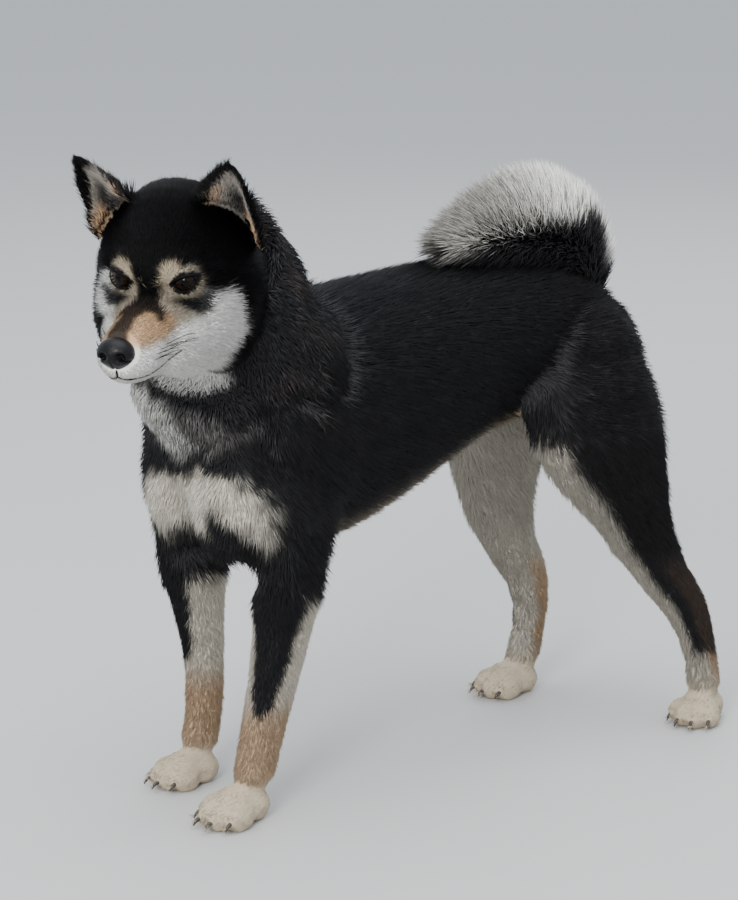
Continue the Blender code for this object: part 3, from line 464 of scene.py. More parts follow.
def ragged(points, scale, seed=0.0):
    """A smooth wobble between -1 and 1 that breaks the edges of the markings."""
    x, y, z = (points * (1 / scale)).T
    one = np.sin(x * 1.7 + 2.3 * np.sin(y * 1.3 + seed)) + np.sin(z * 2.1 + 1.9 * np.sin(x * 0.9 - seed))
    two = np.sin(y * 3.1 + 1.7 * np.sin(z * 2.7 + seed)) + np.sin((x + z) * 4.3 + seed)
    return (one + 0.5 * two) / 3


def painted(colour, over_colour, amount):
    """The colour with another laid over it by an amount from 0 to 1 at each point."""
    return colour + (over_colour - colour) * amount[:, None]


# The run of each leg, highest first: (height, x, y, half width, towards the front, towards the back)
LEG_RUNS = {
    "foreleg_left": [
        (0.262, 0.058, -0.128, 0.026, 0.036, 0.036), (0.225, 0.060, -0.133, 0.026, 0.034, 0.037),
        (0.190, 0.057, -0.138, 0.0235, 0.029, 0.032), (0.148, 0.055, -0.144, 0.020, 0.0235, 0.028),
        (0.106, 0.053, -0.151, 0.0175, 0.019, 0.023), (0.078, 0.052, -0.158, 0.018, 0.018, 0.020),
        (0.048, 0.052, -0.164, 0.017, 0.0165, 0.0175), (0.026, 0.052, -0.171, 0.018, 0.018, 0.017),
    ],
    "foreleg_right": [
        (0.262, -0.056, -0.138, 0.026, 0.040, 0.036), (0.225, -0.053, -0.150, 0.027, 0.043, 0.034),
        (0.188, -0.045, -0.157, 0.0235, 0.037, 0.027), (0.146, -0.040, -0.156, 0.019, 0.024, 0.022),
        (0.104, -0.040, -0.153, 0.016, 0.017, 0.017), (0.076, -0.040, -0.152, 0.0165, 0.0165, 0.0165),
        (0.046, -0.040, -0.154, 0.0155, 0.0155, 0.0155), (0.026, -0.040, -0.160, 0.0175, 0.0175, 0.017),
    ],
    "hindleg_left": [
        (0.268, 0.060, 0.155, 0.034, 0.072, 0.066), (0.235, 0.070, 0.166, 0.030, 0.063, 0.055),
        (0.203, 0.077, 0.178, 0.0255, 0.043, 0.038), (0.168, 0.080, 0.194, 0.0215, 0.034, 0.0235),
        (0.133, 0.083, 0.215, 0.018, 0.028, 0.015), (0.104, 0.084, 0.236, 0.0165, 0.0215, 0.0215),
        (0.072, 0.085, 0.250, 0.015, 0.0175, 0.014), (0.042, 0.086, 0.256, 0.015, 0.015, 0.0135),
        (0.024, 0.086, 0.256, 0.017, 0.017, 0.017),
    ],
    "hindleg_right": [
        (0.265, -0.052, 0.146, 0.034, 0.060, 0.062), (0.225, -0.056, 0.146, 0.030, 0.051, 0.053),
        (0.188, -0.058, 0.148, 0.025, 0.041, 0.042), (0.152, -0.058, 0.155, 0.021, 0.029, 0.0285),
        (0.124, -0.058, 0.169, 0.018, 0.023, 0.023), (0.100, -0.058, 0.183, 0.0165, 0.019, 0.0245),
        (0.070, -0.058, 0.188, 0.015, 0.0155, 0.017), (0.042, -0.058, 0.182, 0.015, 0.0145, 0.0155),
        (0.024, -0.058, 0.175, 0.017, 0.017, 0.017),
    ],
}
# Where black runs down a foreleg: (height, middle, half width) in degrees round the leg from its front, inside +
BLACK_DOWN = {
    "foreleg_left": [
        (0.076, -45, 0), (0.085, -45, 30), (0.100, -38, 42), (0.130, -48, 50), (0.170, -33, 72),
        (0.200, -33, 105), (0.235, -33, 180),
    ],
    "foreleg_right": [
        (0.092, -25, 0), (0.104, -20, 48), (0.150, -25, 66), (0.190, -33, 90), (0.235, -33, 180),
    ],
}
LEG_NODES = {"foreleg": ("foreleg", "forepaw"), "hindleg": ("thigh", "hindleg", "hindpaw")}


def round_the_leg(leg, where):
    """Degrees round the leg from straight in front, positive to its inside."""
    run = np.array(LEG_RUNS[leg][::-1])
    x, y, half_width, front, back = (np.interp(where[:, 2], run[:, 0], run[:, k]) for k in range(1, 6))
    ahead = y - where[:, 1]
    ahead = ahead / np.where(ahead > 0, front, back)
    inward = (where[:, 0] - x) / half_width * (-1 if leg.endswith("left") else 1)
    return np.degrees(np.arctan2(inward, ahead))


EAR_INNER_BASE = Vector((0.0230, 0.0350, 0.0440))
EAR_OUTER_BASE = Vector((0.0620, 0.0520, 0.0060))
EAR_TIP = Vector((0.0580, 0.0300, 0.0780))
EAR_BACK = Vector((0.25, 0.90, 0.30)).normalized()
EAR_HALF_BASE = 0.0285
EAR_WIDTHS = ((0, 1.0), (0.22, 0.88), (0.44, 0.70), (0.64, 0.51), (0.80, 0.34), (0.92, 0.20), (1.0, 0.08))


def on_ear(at_head):
    """Place on the ear: across it (inner edge -1, outer edge 1) and up it (base 0, tip 1)."""
    middle = (EAR_INNER_BASE + EAR_OUTER_BASE) / 2
    half = (EAR_OUTER_BASE - EAR_INNER_BASE) / 2
    axes = np.array([half, EAR_TIP - middle, EAR_BACK]).T
    local = (at_head * (1, 1, 1) - np.array(middle)) @ np.linalg.inv(axes).T
    up = local[:, 1]
    width = np.interp(up, *np.array(EAR_WIDTHS).T)
    return local[:, 0] / width, up


def markings(where, at_head, facing):
    """The colour of the coat at each point of the skin."""
    colour = np.tile(BLACK, (len(where), 1))
    x, y, z = where.T
    hx, hy, hz = at_head.T
    wobble = ragged(where, 0.006) * 0.0022
    # Grey ticking on the crown, brown on the back edge of the ruff and on the haunches
    crown = part_of("head") * step(0.046, 0.062, hz)
    ruff_back = part_of("neck") * step(0.075, 0.095, hy) * step(0.150, 0.125, hy) * step(-0.3, 0.6, ragged(where, 0.012, 2.0))
    ruff_back *= step(0.030, 0.050, np.abs(x - 0.02))
    haunch = part_of("torso", "thigh_left", "thigh_right") * step(0.08, 0.16, y)
    colour = painted(colour, BLACK * 0.14, part_of("head", "ear_left", "ear_right") * step(0.110, 0.055, hy))
    colour = painted(colour, GREY * 0.30, 0.30 * crown)
    colour = painted(colour, BROWN_BLACK * 3.0, 0.60 * ruff_back * step(-0.06, 0.02, hx))
    colour = painted(colour, BROWN_BLACK, 0.22 * haunch)
    # Under the body and under the tail
    belly = part_of("torso") * step(-0.45, -0.85, facing[:, 2]) * step(-0.10, -0.02, y) * step(0.285, 0.27, z)
    vent = part_of("torso", "thigh_left", "thigh_right") * step(0.45, 0.8, facing[:, 1])
    vent *= step(0.024, 0.004, np.abs(x)) * step(0.335, 0.300, z)
    colour = painted(colour, CREAM * 0.85, np.clip(belly + vent, 0, 1))
    # Face
    middle = np.abs(hx + 0.0025)
    face = part_of("head", "neck") * step(0.085, 0.070, hy)
    front = face * step(0.016, 0.008, hy)
    side = np.abs(hx)
    tan_side = face * inside(hy + wobble, hz, MUZZLE_SIDE, 0.007) * step(0.030, 0.012, hy)
    tan_side *= np.maximum(step(0.0060, 0.0110, side), step(-0.030, -0.040, hy))
    colour = painted(colour, CREAM * 0.55 + GREY * 0.35, tan_side)
    white = face * inside(hy + wobble, hz + wobble, CHEEK, 0.0075)
    white *= 1 - (hx < -0.034) * step(0.000, 0.006, hy - np.maximum(0.0150 + 0.91 * (hz + 0.0144), 0.0))
    white = np.maximum(white, face * step(0.034, 0.020, side) * inside(hy, hz + wobble, UNDER_JAW, 0.0060))
    white = np.maximum(white, face * (hx < 0) * inside(hy, hz + wobble, FAR_STRIPE, 0.0045))
    colour = painted(colour, WHITE, white)
    tan = face * inside(hy + wobble, hz, MUZZLE_TAN, 0.0090)
    colour = painted(colour, TAN * 0.75 + CREAM * 0.25, tan * 0.95)
    brow = front * inside(middle + wobble * 0.5, hz + wobble * 0.5, BROW, 0.0040)
    colour = painted(colour, CREAM * 0.56, brow * 0.95)
    ring = front * inside(side, hz + wobble * 0.4, EYE_RING, 0.0035)
    colour = painted(colour, CREAM * 0.62 + GREY * 0.2, ring * 0.75)
    grizzle = front * inside(side, hz, GRIZZLE, 0.0060) * step(-0.1, 0.5, ragged(where, 0.0028, 9.0))
    colour = painted(colour, GREY * 0.75, grizzle * 0.7)
    smudge = face * inside(side + wobble, hz + wobble, SMUDGE, 0.0060) * step(0.03, 0.018, hy)
    colour = painted(colour, BLACK * 0.7, smudge * 0.95)
    bridge = face * inside(hx + wobble * 0.5, hy, BRIDGE, 0.0045) * step(-0.030, -0.021, hz)
    colour = painted(colour, BROWN_BLACK * 0.7, bridge * 0.96)
    # Throat and breast
    chest = step(-0.143, -0.155, y) * part_of("neck", "torso", "foreleg_left", "foreleg_right")
    below_jaw = step(0.345, 0.335, z)
    grey_sides = chest * below_jaw * inside(x + wobble * 2, z + wobble * 2, THROAT_SIDES, 0.012)
    colour = painted(colour, GREY * 1.1, grey_sides * 0.80)
    throat = chest * below_jaw * inside(x + wobble * 2, z + wobble * 2, THROAT, 0.012)
    # The throat's white is dimmed to about half and streaked: partly its real grey streaks, partly painted shade
    colour = painted(colour, WHITE * (0.52 + 0.20 * ragged(where, 0.006, 5.0))[:, None], throat)
    bow = chest * inside(x + wobble * 1.5, z + wobble * 2.5, BOW, 0.011)
    colour = painted(colour, CREAM * 0.48 + WHITE * 0.60, bow)
    # Legs
    for leg in LEG_RUNS:
        kind, hand = leg.split("_")
        on_leg = part_of(*(node + "_" + hand for node in LEG_NODES[kind]))
        turn = round_the_leg(leg, where)
        if kind == "foreleg":
            heights, middles, halves = np.array(BLACK_DOWN[leg]).T
            half = np.interp(z, heights, halves, left=-20)
            off = np.abs(turn - np.interp(z, heights, middles))
            light = step(-9, 9, off + wobble * 3000 - half)
            tan_here = step(0.10, 0.07, z) * step(0.012, 0.030, z)
        else:
            rear = np.interp(z, [0.0, 0.055, 0.075, 0.14, 0.25, 0.27], [181, 181, 150, 140, 150, 60])
            off = turn + wobble * 3000
            light = step(-34, -16, off) * step(rear + 12, rear - 12, off) * step(0.262, 0.246, z)
            light = np.maximum(light, step(0.064, 0.050, z))
            light = np.maximum(light, step(-34, -16, turn) * (z < 0.2) * step(-0.2, 0.4, facing[:, 0] * 0 + 1))
            behind = step(0.165, 0.12, z) * step(-50, -75, turn) * step(0.052, 0.07, z)
            colour = painted(colour, BROWN_BLACK * 2.4 + TAN * 0.06, on_leg * behind * 0.75)
            tan_here = step(0.13, 0.10, z) * step(0.02, 0.05, z) * step(60, 100, np.abs(turn))
        # On the hind legs the pale is dimmed to 0.72 of the forelegs' pale: painted shade
        pale = (CREAM * 0.5 + WHITE * 0.5) * (1.0 if kind == "foreleg" else 0.72)
        leg_light = painted(np.tile(pale, (len(z), 1)), TAN * 0.75 + CREAM * 0.25, tan_here * 0.8)
        leg_light = painted(leg_light, CREAM * 0.80, step(0.040, 0.020, z))
        colour = colour + (leg_light - colour) * (on_leg * light)[:, None]
    # Ears: black backs and thick black rims, cream-grey within, tan at the foot of the rim, painted shade deep in the
    # hollow
    mirrored_head = at_head * np.where(hx < 0, -1, 1)[:, None] ** np.array((1, 0, 0))
    across, up = on_ear(mirrored_head)
    hollow_side = step(0.05, -0.25, in_head_turn(facing) @ np.array(EAR_BACK) * np.ones(len(z)))
    from_edge = (1 - np.abs(across)) * np.interp(up, *np.array(EAR_WIDTHS).T) * EAR_HALF_BASE
    rim = np.where(across > 0, 0.0012 + 0.0042 * step(0.25, 0.60, up), 0.0018)
    within = part_of("ear_left", "ear_right") * step(0.0, 0.0030, from_edge - rim) * step(0.86, 0.68, up)
    lining = GREY * 0.85 + CREAM * 0.12
    colour = painted(colour, lining, within * hollow_side)
    foot = within * hollow_side * np.maximum(
        step(0.10, 0.40, across) * step(0.40, 0.20, up), 0.6 * step(-0.50, -0.80, across) * step(0.55, 0.30, up)
    )
    colour = painted(colour, TAN * 0.8 + CREAM * 0.2, foot * 0.8)
    # Painted shade: the deep middle of the ear's hollow is darkened towards black
    painted_hollow_shade = within * hollow_side * np.exp(-(((across - 0.02) / 0.46) ** 2 + ((up - 0.27) / 0.28) ** 2) ** 1.5)
    colour = painted(colour, BLACK * 0.6, painted_hollow_shade)
    return colour


def in_head_turn(vectors):
    """Directions of the frame in the head's own frame, mirrored to the dog's left."""
    local = vectors @ np.array(HEAD.inverted())[:3, :3].T
    flip = np.where(head_points[:, 0] < 0, -1.0, 1.0)
    return local * np.stack([flip, np.ones(len(flip)), np.ones(len(flip))], axis=1)



# The lie of the coat: back from the nose, down the neck and the shoulders, back along the trunk, down the legs
NOSE_SOURCE = (0.0, -0.090, -0.010)
out_of_head = np.array(HEAD)[:3, :3].T
head_side = np.sign(head_points[:, 0])
head_lie = unit(head_points - NOSE_SOURCE)
cheek_drop = step(-0.005, 0.030, head_points[:, 1]) * step(0.015, -0.03, head_points[:, 2])
head_lie += cheek_drop[:, None] * np.stack([0.25 * head_side, 0.2 + 0 * head_side, -0.45 + 0 * head_side], 1)
for side in (1, -1):
    from_eye = head_points - EYE_CENTRE * (side, 1, 1)
    nearness = np.exp(-(np.linalg.norm(from_eye, axis=1) / 0.019) ** 2)
    head_lie += unit(from_eye) * (1.1 * nearness)[:, None]
ear_run = np.array(EAR_TIP - (EAR_INNER_BASE + EAR_OUTER_BASE) / 2)
mirrored = head_points * np.stack([head_side, head_side ** 2, head_side ** 2], 1)
across_the_ear, up_the_ear = on_ear(mirrored)
to_edge = np.array(EAR_OUTER_BASE - EAR_INNER_BASE) / (EAR_OUTER_BASE - EAR_INNER_BASE).length
ear_lie = unit(ear_run) + to_edge * 0.7 * np.clip(across_the_ear, -1, 1)[:, None]
ear_lie = unit(ear_lie * np.stack([head_side, head_side ** 2, head_side ** 2], 1))

throat = step(0.0, 0.7, -normals[:, 1])
neck_down = np.array((-0.032, 0.072, -0.078))
neck_lie = unit(neck_down) + throat[:, None] * (np.array((0.0, -0.10, -1.0)) - unit(neck_down))
low_side = step(0.9, 0.0, normals[:, 2])
ahead = step(-0.05, -0.14, body[:, 1])
breast = step(0.2, 0.8, -normals[:, 1])
torso_lie = np.stack([
    0 * ahead,
    1.0 - 0.45 * ahead - 1.1 * breast,
    -0.45 * low_side - 0.45 * ahead * low_side - 0.9 * breast,
], 1)


def constant(direction):
    return np.tile(np.array(direction, float), (len(skin), 1))


PAW_TURNS = {"forepaw_left": 6, "forepaw_right": -4, "hindpaw_left": 22, "hindpaw_right": -6}
lies = {
    "head": head_lie @ out_of_head, "ear_left": ear_lie @ out_of_head, "ear_right": ear_lie @ out_of_head,
    "neck": neck_lie, "torso": torso_lie, "tail": constant((0, -0.3, 1)),
    "thigh_left": constant((0, 0.5, -0.85)), "thigh_right": constant((0, 0.5, -0.85)),
    "foreleg_left": constant((0, 0.1, -1)), "foreleg_right": constant((0, 0.1, -1)),
    "hindleg_left": constant((0, 0.35, -1)), "hindleg_right": constant((0, 0.2, -1)),
}
for paw, degrees in PAW_TURNS.items():
    lies[paw] = constant((math.sin(math.radians(degrees)), -math.cos(math.radians(degrees)), -0.45))
lie = sum(share[:, k][:, None] * unit(lies[node]) for k, node in enumerate(NODES))


def along_skin(vectors):
    return unit(vectors - normals * np.sum(vectors * normals, axis=1, keepdims=True))


lie = along_skin(near.blend(along_skin(lie), 14))

# Length of the coat, in metres
TEMPLE = (0.052, 0.036, -0.004)
COAT_LENGTH = {
    "head": 0.0085, "ear_left": 0.0058, "ear_right": 0.0058, "neck": 0.027, "torso": 0.024, "tail": 0.02,
    "thigh_left": 0.021, "thigh_right": 0.021, "foreleg_left": 0.011, "foreleg_right": 0.011,
    "hindleg_left": 0.011, "hindleg_right": 0.011, "forepaw_left": 0.0052, "forepaw_right": 0.0052,
    "hindpaw_left": 0.0052, "hindpaw_right": 0.0052,
}
length = sum(share[:, k] * COAT_LENGTH[node] for k, node in enumerate(NODES))
length += -0.0040 * muzzle + 0.0085 * cheek + 0.0030 * part_of("head") * step(0.03, 0.055, head_points[:, 2])
nape = part_of("head", "neck") * step(0.030, 0.060, head_points[:, 1]) * step(-0.01, 0.02, head_points[:, 2])
throat_front = part_of("neck", "torso") * step(-0.135, -0.170, body[:, 1]) * step(0.20, 0.23, body[:, 2])
length *= (1 - 0.30 * nape) * (1 - 0.50 * throat_front)
length = near.blend(length, 140)
under_jaw = step(0.080, 0.060, head_points[:, 1]) * step(-0.050, -0.070, head_points[:, 2])
under_jaw *= part_of("head", "neck") * step(-0.118, -0.104, head_points[:, 2])
length *= 1 - 0.45 * under_jaw
# Fuller fur at the temples and before the ears
temple = part_of("head", "neck") * np.exp(-(np.linalg.norm(mirrored - TEMPLE, axis=1) / 0.024) ** 2)
ear_foot = part_of("head") * np.exp(-(np.linalg.norm(mirrored - np.array(EAR_INNER_BASE), axis=1) / 0.017) ** 2)
length += 0.0090 * temple + 0.0020 * ear_foot
lift = 1 + 1.3 * temple + 0.3 * ear_foot
eye_gap = step(1.05, 2.6, slit)
length *= 0.32 + 0.68 * eye_gap
length *= 1 - 0.45 * part_of("ear_left", "ear_right") * step(0.6, 0.95, up_the_ear)

# How fast the skin curves away under a tuft, so that long hair follows it
start, end = near.a, near.b
bend_up, bend_down = np.zeros(len(skin)), np.zeros(len(skin))
for here, there in ((start, end), (end, start)):
    run = np.sum((skin[there] - skin[here]) * lie[here], axis=1)
    tilt = np.sum((normals[there] - normals[here]) * lie[here], axis=1)
    bend_up += np.bincount(here, run * tilt, len(skin))
    bend_down += np.bincount(here, run * run, len(skin))
curving = near.blend(np.clip(bend_up / np.maximum(bend_down, 1e-12), 0, 130), 25)

# The marking that shows at a root is the one half a hair's length on, where its hair is seen
reach = (length * 0.72)[:, None]
skin_colour = markings(body, head_points, normals)
hair_colour = markings(body + lie * reach, in_head(skin + lie * reach), normals)
dark_rim = step(1.50, 1.22, slit)
skin_colour = painted(skin_colour, BLACK * 0.3, dark_rim)
hair_colour = painted(hair_colour, BLACK * 0.3, dark_rim)

SKIN_TRIANGLES = 150000


def array_mesh(name, places, corners, smooth=True):
    mesh = bpy.data.meshes.new(name)
    mesh.vertices.add(len(places))
    mesh.vertices.foreach_set("co", np.ascontiguousarray(places, np.float32).ravel())
    mesh.loops.add(corners.size)
    mesh.loops.foreach_set("vertex_index", np.ascontiguousarray(corners, np.int32).ravel())
    mesh.polygons.add(len(corners))
    mesh.polygons.foreach_set("loop_start", np.arange(0, corners.size, 3, dtype=np.int32))
    mesh.update(calc_edges=True)
    mesh.polygons.foreach_set("use_smooth", np.full(len(corners), smooth))
    return mesh


def give_colour(mesh, colours):
    layer = mesh.color_attributes.new("coat_colour", "FLOAT_COLOR", "POINT")
    filled = np.ones((len(colours), 4), np.float32)
    filled[:, :3] = colours
    layer.data.foreach_set("color", filled.ravel())


def show(name, mesh, material):
    piece = bpy.data.objects.new(name, mesh)
    bpy.context.scene.collection.objects.link(piece)
    mesh.materials.append(material)
    return piece


def node(tree, kind, **settings):
    made = tree.nodes.new(kind)
    for key, value in settings.items():
        setattr(made, key, value)
    return made


def hair_material(name, roughness, sheen, mottle_scale, mottle):
    """Colour from the painted markings, broken by a fine mottle, with the sheen weight given."""
    material = bpy.data.materials.new(name)
    material.use_nodes = True
    tree = material.node_tree
    shader = tree.nodes["Principled BSDF"]
    shader.inputs["Roughness"].default_value = roughness
    shader.inputs["Specular IOR Level"].default_value = 0.05
    shader.inputs["Sheen Weight"].default_value = sheen
    shader.inputs["Sheen Roughness"].default_value = 0.45
    painted_on = node(tree, "ShaderNodeAttribute", attribute_name="coat_colour")
    place = node(tree, "ShaderNodeTexCoord")
    noise = node(tree, "ShaderNodeTexNoise")
    noise.inputs["Scale"].default_value = mottle_scale
    noise.inputs["Detail"].default_value = 3.0
    spread = node(tree, "ShaderNodeMapRange")
    spread.inputs["To Min"].default_value = 1.0 - mottle
    spread.inputs["To Max"].default_value = 1.0 + mottle
    shade = node(tree, "ShaderNodeHueSaturation")
    tree.links.new(place.outputs["Object"], noise.inputs["Vector"])
    tree.links.new(noise.outputs["Fac"], spread.inputs["Value"])
    tree.links.new(spread.outputs["Result"], shade.inputs["Value"])
    tree.links.new(painted_on.outputs["Color"], shade.inputs["Color"])
    tree.links.new(shade.outputs["Color"], shader.inputs["Base Color"])
    return material


skin_material = hair_material("short_undercoat", 0.75, 0.0, 900.0, 0.25)
hide_mesh = array_mesh("skin", skin, triangles)
give_colour(hide_mesh, skin_colour * 0.8)
skin_piece = show("skin", hide_mesh, skin_material)
if len(triangles) > SKIN_TRIANGLES:
    keep_fine = skin_piece.vertex_groups.new(name="keep_fine")
    weights = np.round(np.clip(1.0 - fine, 0, 1), 1)
    for level in np.unique(weights):
        if level > 0:
            keep_fine.add(np.nonzero(weights == level)[0].tolist(), float(level), "REPLACE")
    thinning = skin_piece.modifiers.new("thinning", "DECIMATE")
    thinning.ratio = SKIN_TRIANGLES / len(triangles)
    thinning.vertex_group = "keep_fine"
    thinning.vertex_group_factor = 0.6
    thinned = bpy.data.meshes.new_from_object(
        skin_piece.evaluated_get(bpy.context.evaluated_depsgraph_get())
    )
    skin_piece.modifiers.clear()
    skin_piece.vertex_groups.clear()
    skin_piece.data = thinned
print("skin triangles", len(triangles), "->", len(skin_piece.data.polygons))
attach(skin_piece, "root")
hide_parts(*NODES)

# The coat: tapered tufts of hair, each rooted in the skin and lying along it, one upon another.
# Face, ears and feet carry short straight tufts, the trunk and legs longer straight ones,
# the neck and the ear linings tufts of two parts that bend down to the lie, and every tuft takes the marking at its
# root.

corner_a, corner_b, corner_c = (skin[triangles[:, k]] for k in range(3))
areas = np.linalg.norm(np.cross(corner_b - corner_a, corner_c - corner_a), axis=1) / 2
owner_of = np.argmax(share, axis=1)[triangles[:, 0]]
middle_of = (corner_a + corner_b + corner_c) / 3
middle_in_head = in_head(middle_of)
sole = middle_of[:, 2] < 0.0018


def triangles_of(nodes, keep=None):
    chosen = np.isin(owner_of, [NODES.index(n) for n in nodes]) & ~sole
    return chosen if keep is None else chosen & keep


def scattered(chosen, count, chance, density=None):
    """Seeded roots on the chosen triangles, with what the skin carries there."""
    weight = areas * chosen
    if density is not None:
        weight = weight * density
    total = np.cumsum(weight)
    # Evenly spaced draws along the summed area, each shifted at random, clump less than free ones
    picks = (np.arange(count) + chance.random(count)) / count * total[-1]
    found = np.minimum(np.searchsorted(total, picks), len(areas) - 1)
    one, two = chance.random(count), chance.random(count)
    flip = one + two > 1
    one, two = np.where(flip, 1 - one, one), np.where(flip, 1 - two, two)
    mix = np.stack([1 - one - two, one, two], axis=1)

    def at(values):
        return sum(values[triangles[found, k]] * mix[:, k].reshape((-1,) + (1,) * (values.ndim - 1)) for k in range(3))

    return at


# Share of a tuft's width at each ring, from the root towards the tip, by the number of bends
TAPER = {1: (1.0,), 2: (0.9, 0.75), 3: (0.8, 1.0, 0.6)}


def tuft_spines(roots, up, along, lengths, rises, turning, sink, bends):
    """Points down the middle of each tuft: it leaves the skin steeply and lies down along it to its tip."""
    spine = [roots - up * sink]
    for k in range(bends):
        part = (k + 0.5) / bends
        angle = rises * (1.55 - 1.1 * part) - turning * part
        heading = along * np.cos(angle)[:, None] + up * np.sin(angle)[:, None]
        spine.append(spine[-1] + heading * (lengths / bends)[:, None])
    return spine


def tuft_mesh(name, spine, up, widths, root_colour, tip_colour, flat_map, thickness=0.35):
    """Closed tapered tufts of three sides round their spines, joined in one mesh."""
    bends = len(spine) - 1
    count = len(widths)
    rings, shades, slots = [], [], []
    for k in range(bends):
        run = unit(spine[k + 1] - spine[max(k - 1, 0)])
        across = unit(np.cross(run, up))
        over = np.cross(across, run)
        wide = (widths * TAPER[bends][k])[:, None]
        for side, high in ((-0.5, 0.0), (0.5, 0.0), (0.0, thickness * 2)):
            rings.append(spine[k] + across * wide * side + over * wide * high)
            part = k / bends
            shades.append(root_colour + (tip_colour - root_colour) * part)
            slots.append((side, part))
    rings.append(spine[-1])
    shades.append(tip_colour)
    slots.append((0.0, 1.0))
    per = len(rings)
    places = np.stack(rings, axis=1).reshape(-1, 3)
    colours = np.stack(shades, axis=1).reshape(-1, 3)
    pattern = [(0, 1, 2)]
    for k in range(bends - 1):
        for j in range(3):
            a, b = 3 * k + j, 3 * k + (j + 1) % 3
            pattern += [(a, a + 3, b), (b, a + 3, b + 3)]
    last = 3 * (bends - 1)
    pattern += [(last + j, per - 1, last + (j + 1) % 3) for j in range(3)]
    pattern = np.array(pattern)
    corners = (pattern[None] + (np.arange(count) * per)[:, None, None]).reshape(-1, 3)
    mesh = array_mesh(name, places, corners)
    give_colour(mesh, colours)
    patch = np.array(slots) * 0.003 - (0.0, 0.0015)
    places_on_map = (flat_map[:, None, :] + patch[None]).reshape(-1, 2)
    layer = mesh.uv_layers.new(name="OFBake")
    layer.data.foreach_set("uv", np.clip(places_on_map, 0.0005, 0.9995)[corners.ravel()].astype(np.float32).ravel())
    return mesh


def swung(up, along, angle):
    side = np.cross(up, along)
    return along * np.cos(angle)[:, None] + side * np.sin(angle)[:, None]


def unwrapped(kind, where):
    """Root places on an unwrap of the part: round it and along it, spread over the whole map."""
    if kind in ("head", "ears"):
        x, y, z = in_head(where).T
        if kind == "ears":
            halves = np.where(x > 0, 0.25, 0.75)
            round_it = halves + np.arctan2(z - 0.045, (y - 0.045) * 4) / (2 * math.pi) * 0.48
            return np.stack([round_it, 0.03 + 0.94 * (np.abs(x) - 0.015) / 0.055], 1)
        round_it, along = np.arctan2(x, z + 0.018), (y + 0.075) / 0.20
    elif kind == "neck":
        local = where - np.array(CENTRED) - (0.020, -0.155, 0.375)
        axis = unit(np.array((-0.032, 0.072, -0.078)))
        across = unit(np.cross(axis, (1, 0, 0)))
        other = np.cross(axis, across)
        round_it, along = np.arctan2(local @ other, local @ across), (local @ axis + 0.10) / 0.20
    elif kind == "torso":
        local = where - np.array(CENTRED)
        round_it, along = np.arctan2(local[:, 0], local[:, 2] - 0.30), (local[:, 1] + 0.21) / 0.45
    else:
        local = where - np.array(CENTRED)
        leg = kind + ("_left", "_right")[0]
        angles = []
        for hand in ("_left", "_right"):
            angles.append(round_the_leg(kind + hand, local))
        chosen = np.where(local[:, 0] > 0, angles[0], angles[1])
        half = np.where(local[:, 0] > 0, 0.25, 0.75)
        top = 0.25 if kind == "foreleg" else 0.33
        return np.stack([half + chosen / 360 * 0.48, 0.03 + 0.94 * local[:, 2] / top], 1)
    return np.stack([0.5 + round_it / (2 * math.pi) * 0.97, 0.02 + 0.96 * along], 1)


HAIR = hair_material("guard_hair", 0.52, 0.0, 350.0, 0.18)


def coat(name, kind, chosen, count, bends, wide, seed, density=None, swing=11.0, stand=1.0, reach=1.0, tint=None):
    """One piece of the coat over the chosen part of the skin."""
    chance = np.random.default_rng(seed)
    at = scattered(chosen, count, chance, density)
    roots, up, along = at(skin), unit(at(normals)), at(lie)
    along = unit(along - up * np.sum(along * up, axis=1, keepdims=True))
    waver = ragged(roots, 0.010, seed * 0.7) * math.radians(10)
    along = swung(up, along, chance.normal(0, math.radians(swing), count) + waver)
    lengths = at(length) * reach * chance.uniform(0.75, 1.15, count)
    rises = np.arcsin(np.clip(at(depth) / np.maximum(at(length), 1e-4), 0.10, 0.75)) * stand
    rises = rises * at(lift) * chance.uniform(0.8, 1.25, count) + math.radians(2)
    turning = np.clip(at(curving) * lengths, 0, 1.3)
    spine = tuft_spines(roots, up, along, lengths, rises, turning, 0.0008, bends)
    for spot in spine:
        spot[:, 2] = np.maximum(spot[:, 2], 0.0005)
    colour = (at(hair_colour) if tint is None else tint) * chance.uniform(0.78, 1.18, count)[:, None]
    widths = wide * (lengths / np.mean(lengths)) ** 0.4 * chance.uniform(0.8, 1.2, count)
    mesh = tuft_mesh(name, spine, up, widths, colour * 0.85, colour * 1.05, unwrapped(kind, roots))
    piece = show(name, mesh, HAIR)
    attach(piece, "root")
    return piece


open_eye = step(1.12, 1.30, slit)[triangles[:, 0]]
nose_root = np.linalg.norm((middle_in_head - (0, -0.066, -0.026)) / (1.15, 1, 1), axis=1)
head_only = triangles_of(["head"])
face_zone = head_only & (middle_in_head[:, 1] < 0.034) & (nose_root > 0.0125)
coat("coat_face", "head", face_zone, 45000, 1, 0.00085, 11, open_eye)
coat("coat_crown", "head", head_only & (middle_in_head[:, 1] >= 0.034), 29000, 1, 0.00105, 12)
coat("coat_ears", "ears", triangles_of(["ear_left", "ear_right"]), 14000, 1, 0.0008, 13)
ear_front = in_head_turn(normals)[triangles[:, 0]] @ np.array(EAR_BACK) < 0.0
lining_zone = triangles_of(["ear_left", "ear_right"], ear_front & (up_the_ear[triangles[:, 0]] > 0.05))
coat("coat_ear_lining", "ears", lining_zone, 4000, 2, 0.0007, 23, reach=1.9, stand=1.5)
bushy = step(0.68, 0.30, up_the_ear) * step(0.3, -0.4, across_the_ear)
back_zone = triangles_of(["ear_left", "ear_right"], ~ear_front | (across_the_ear[triangles[:, 0]] < -0.75))
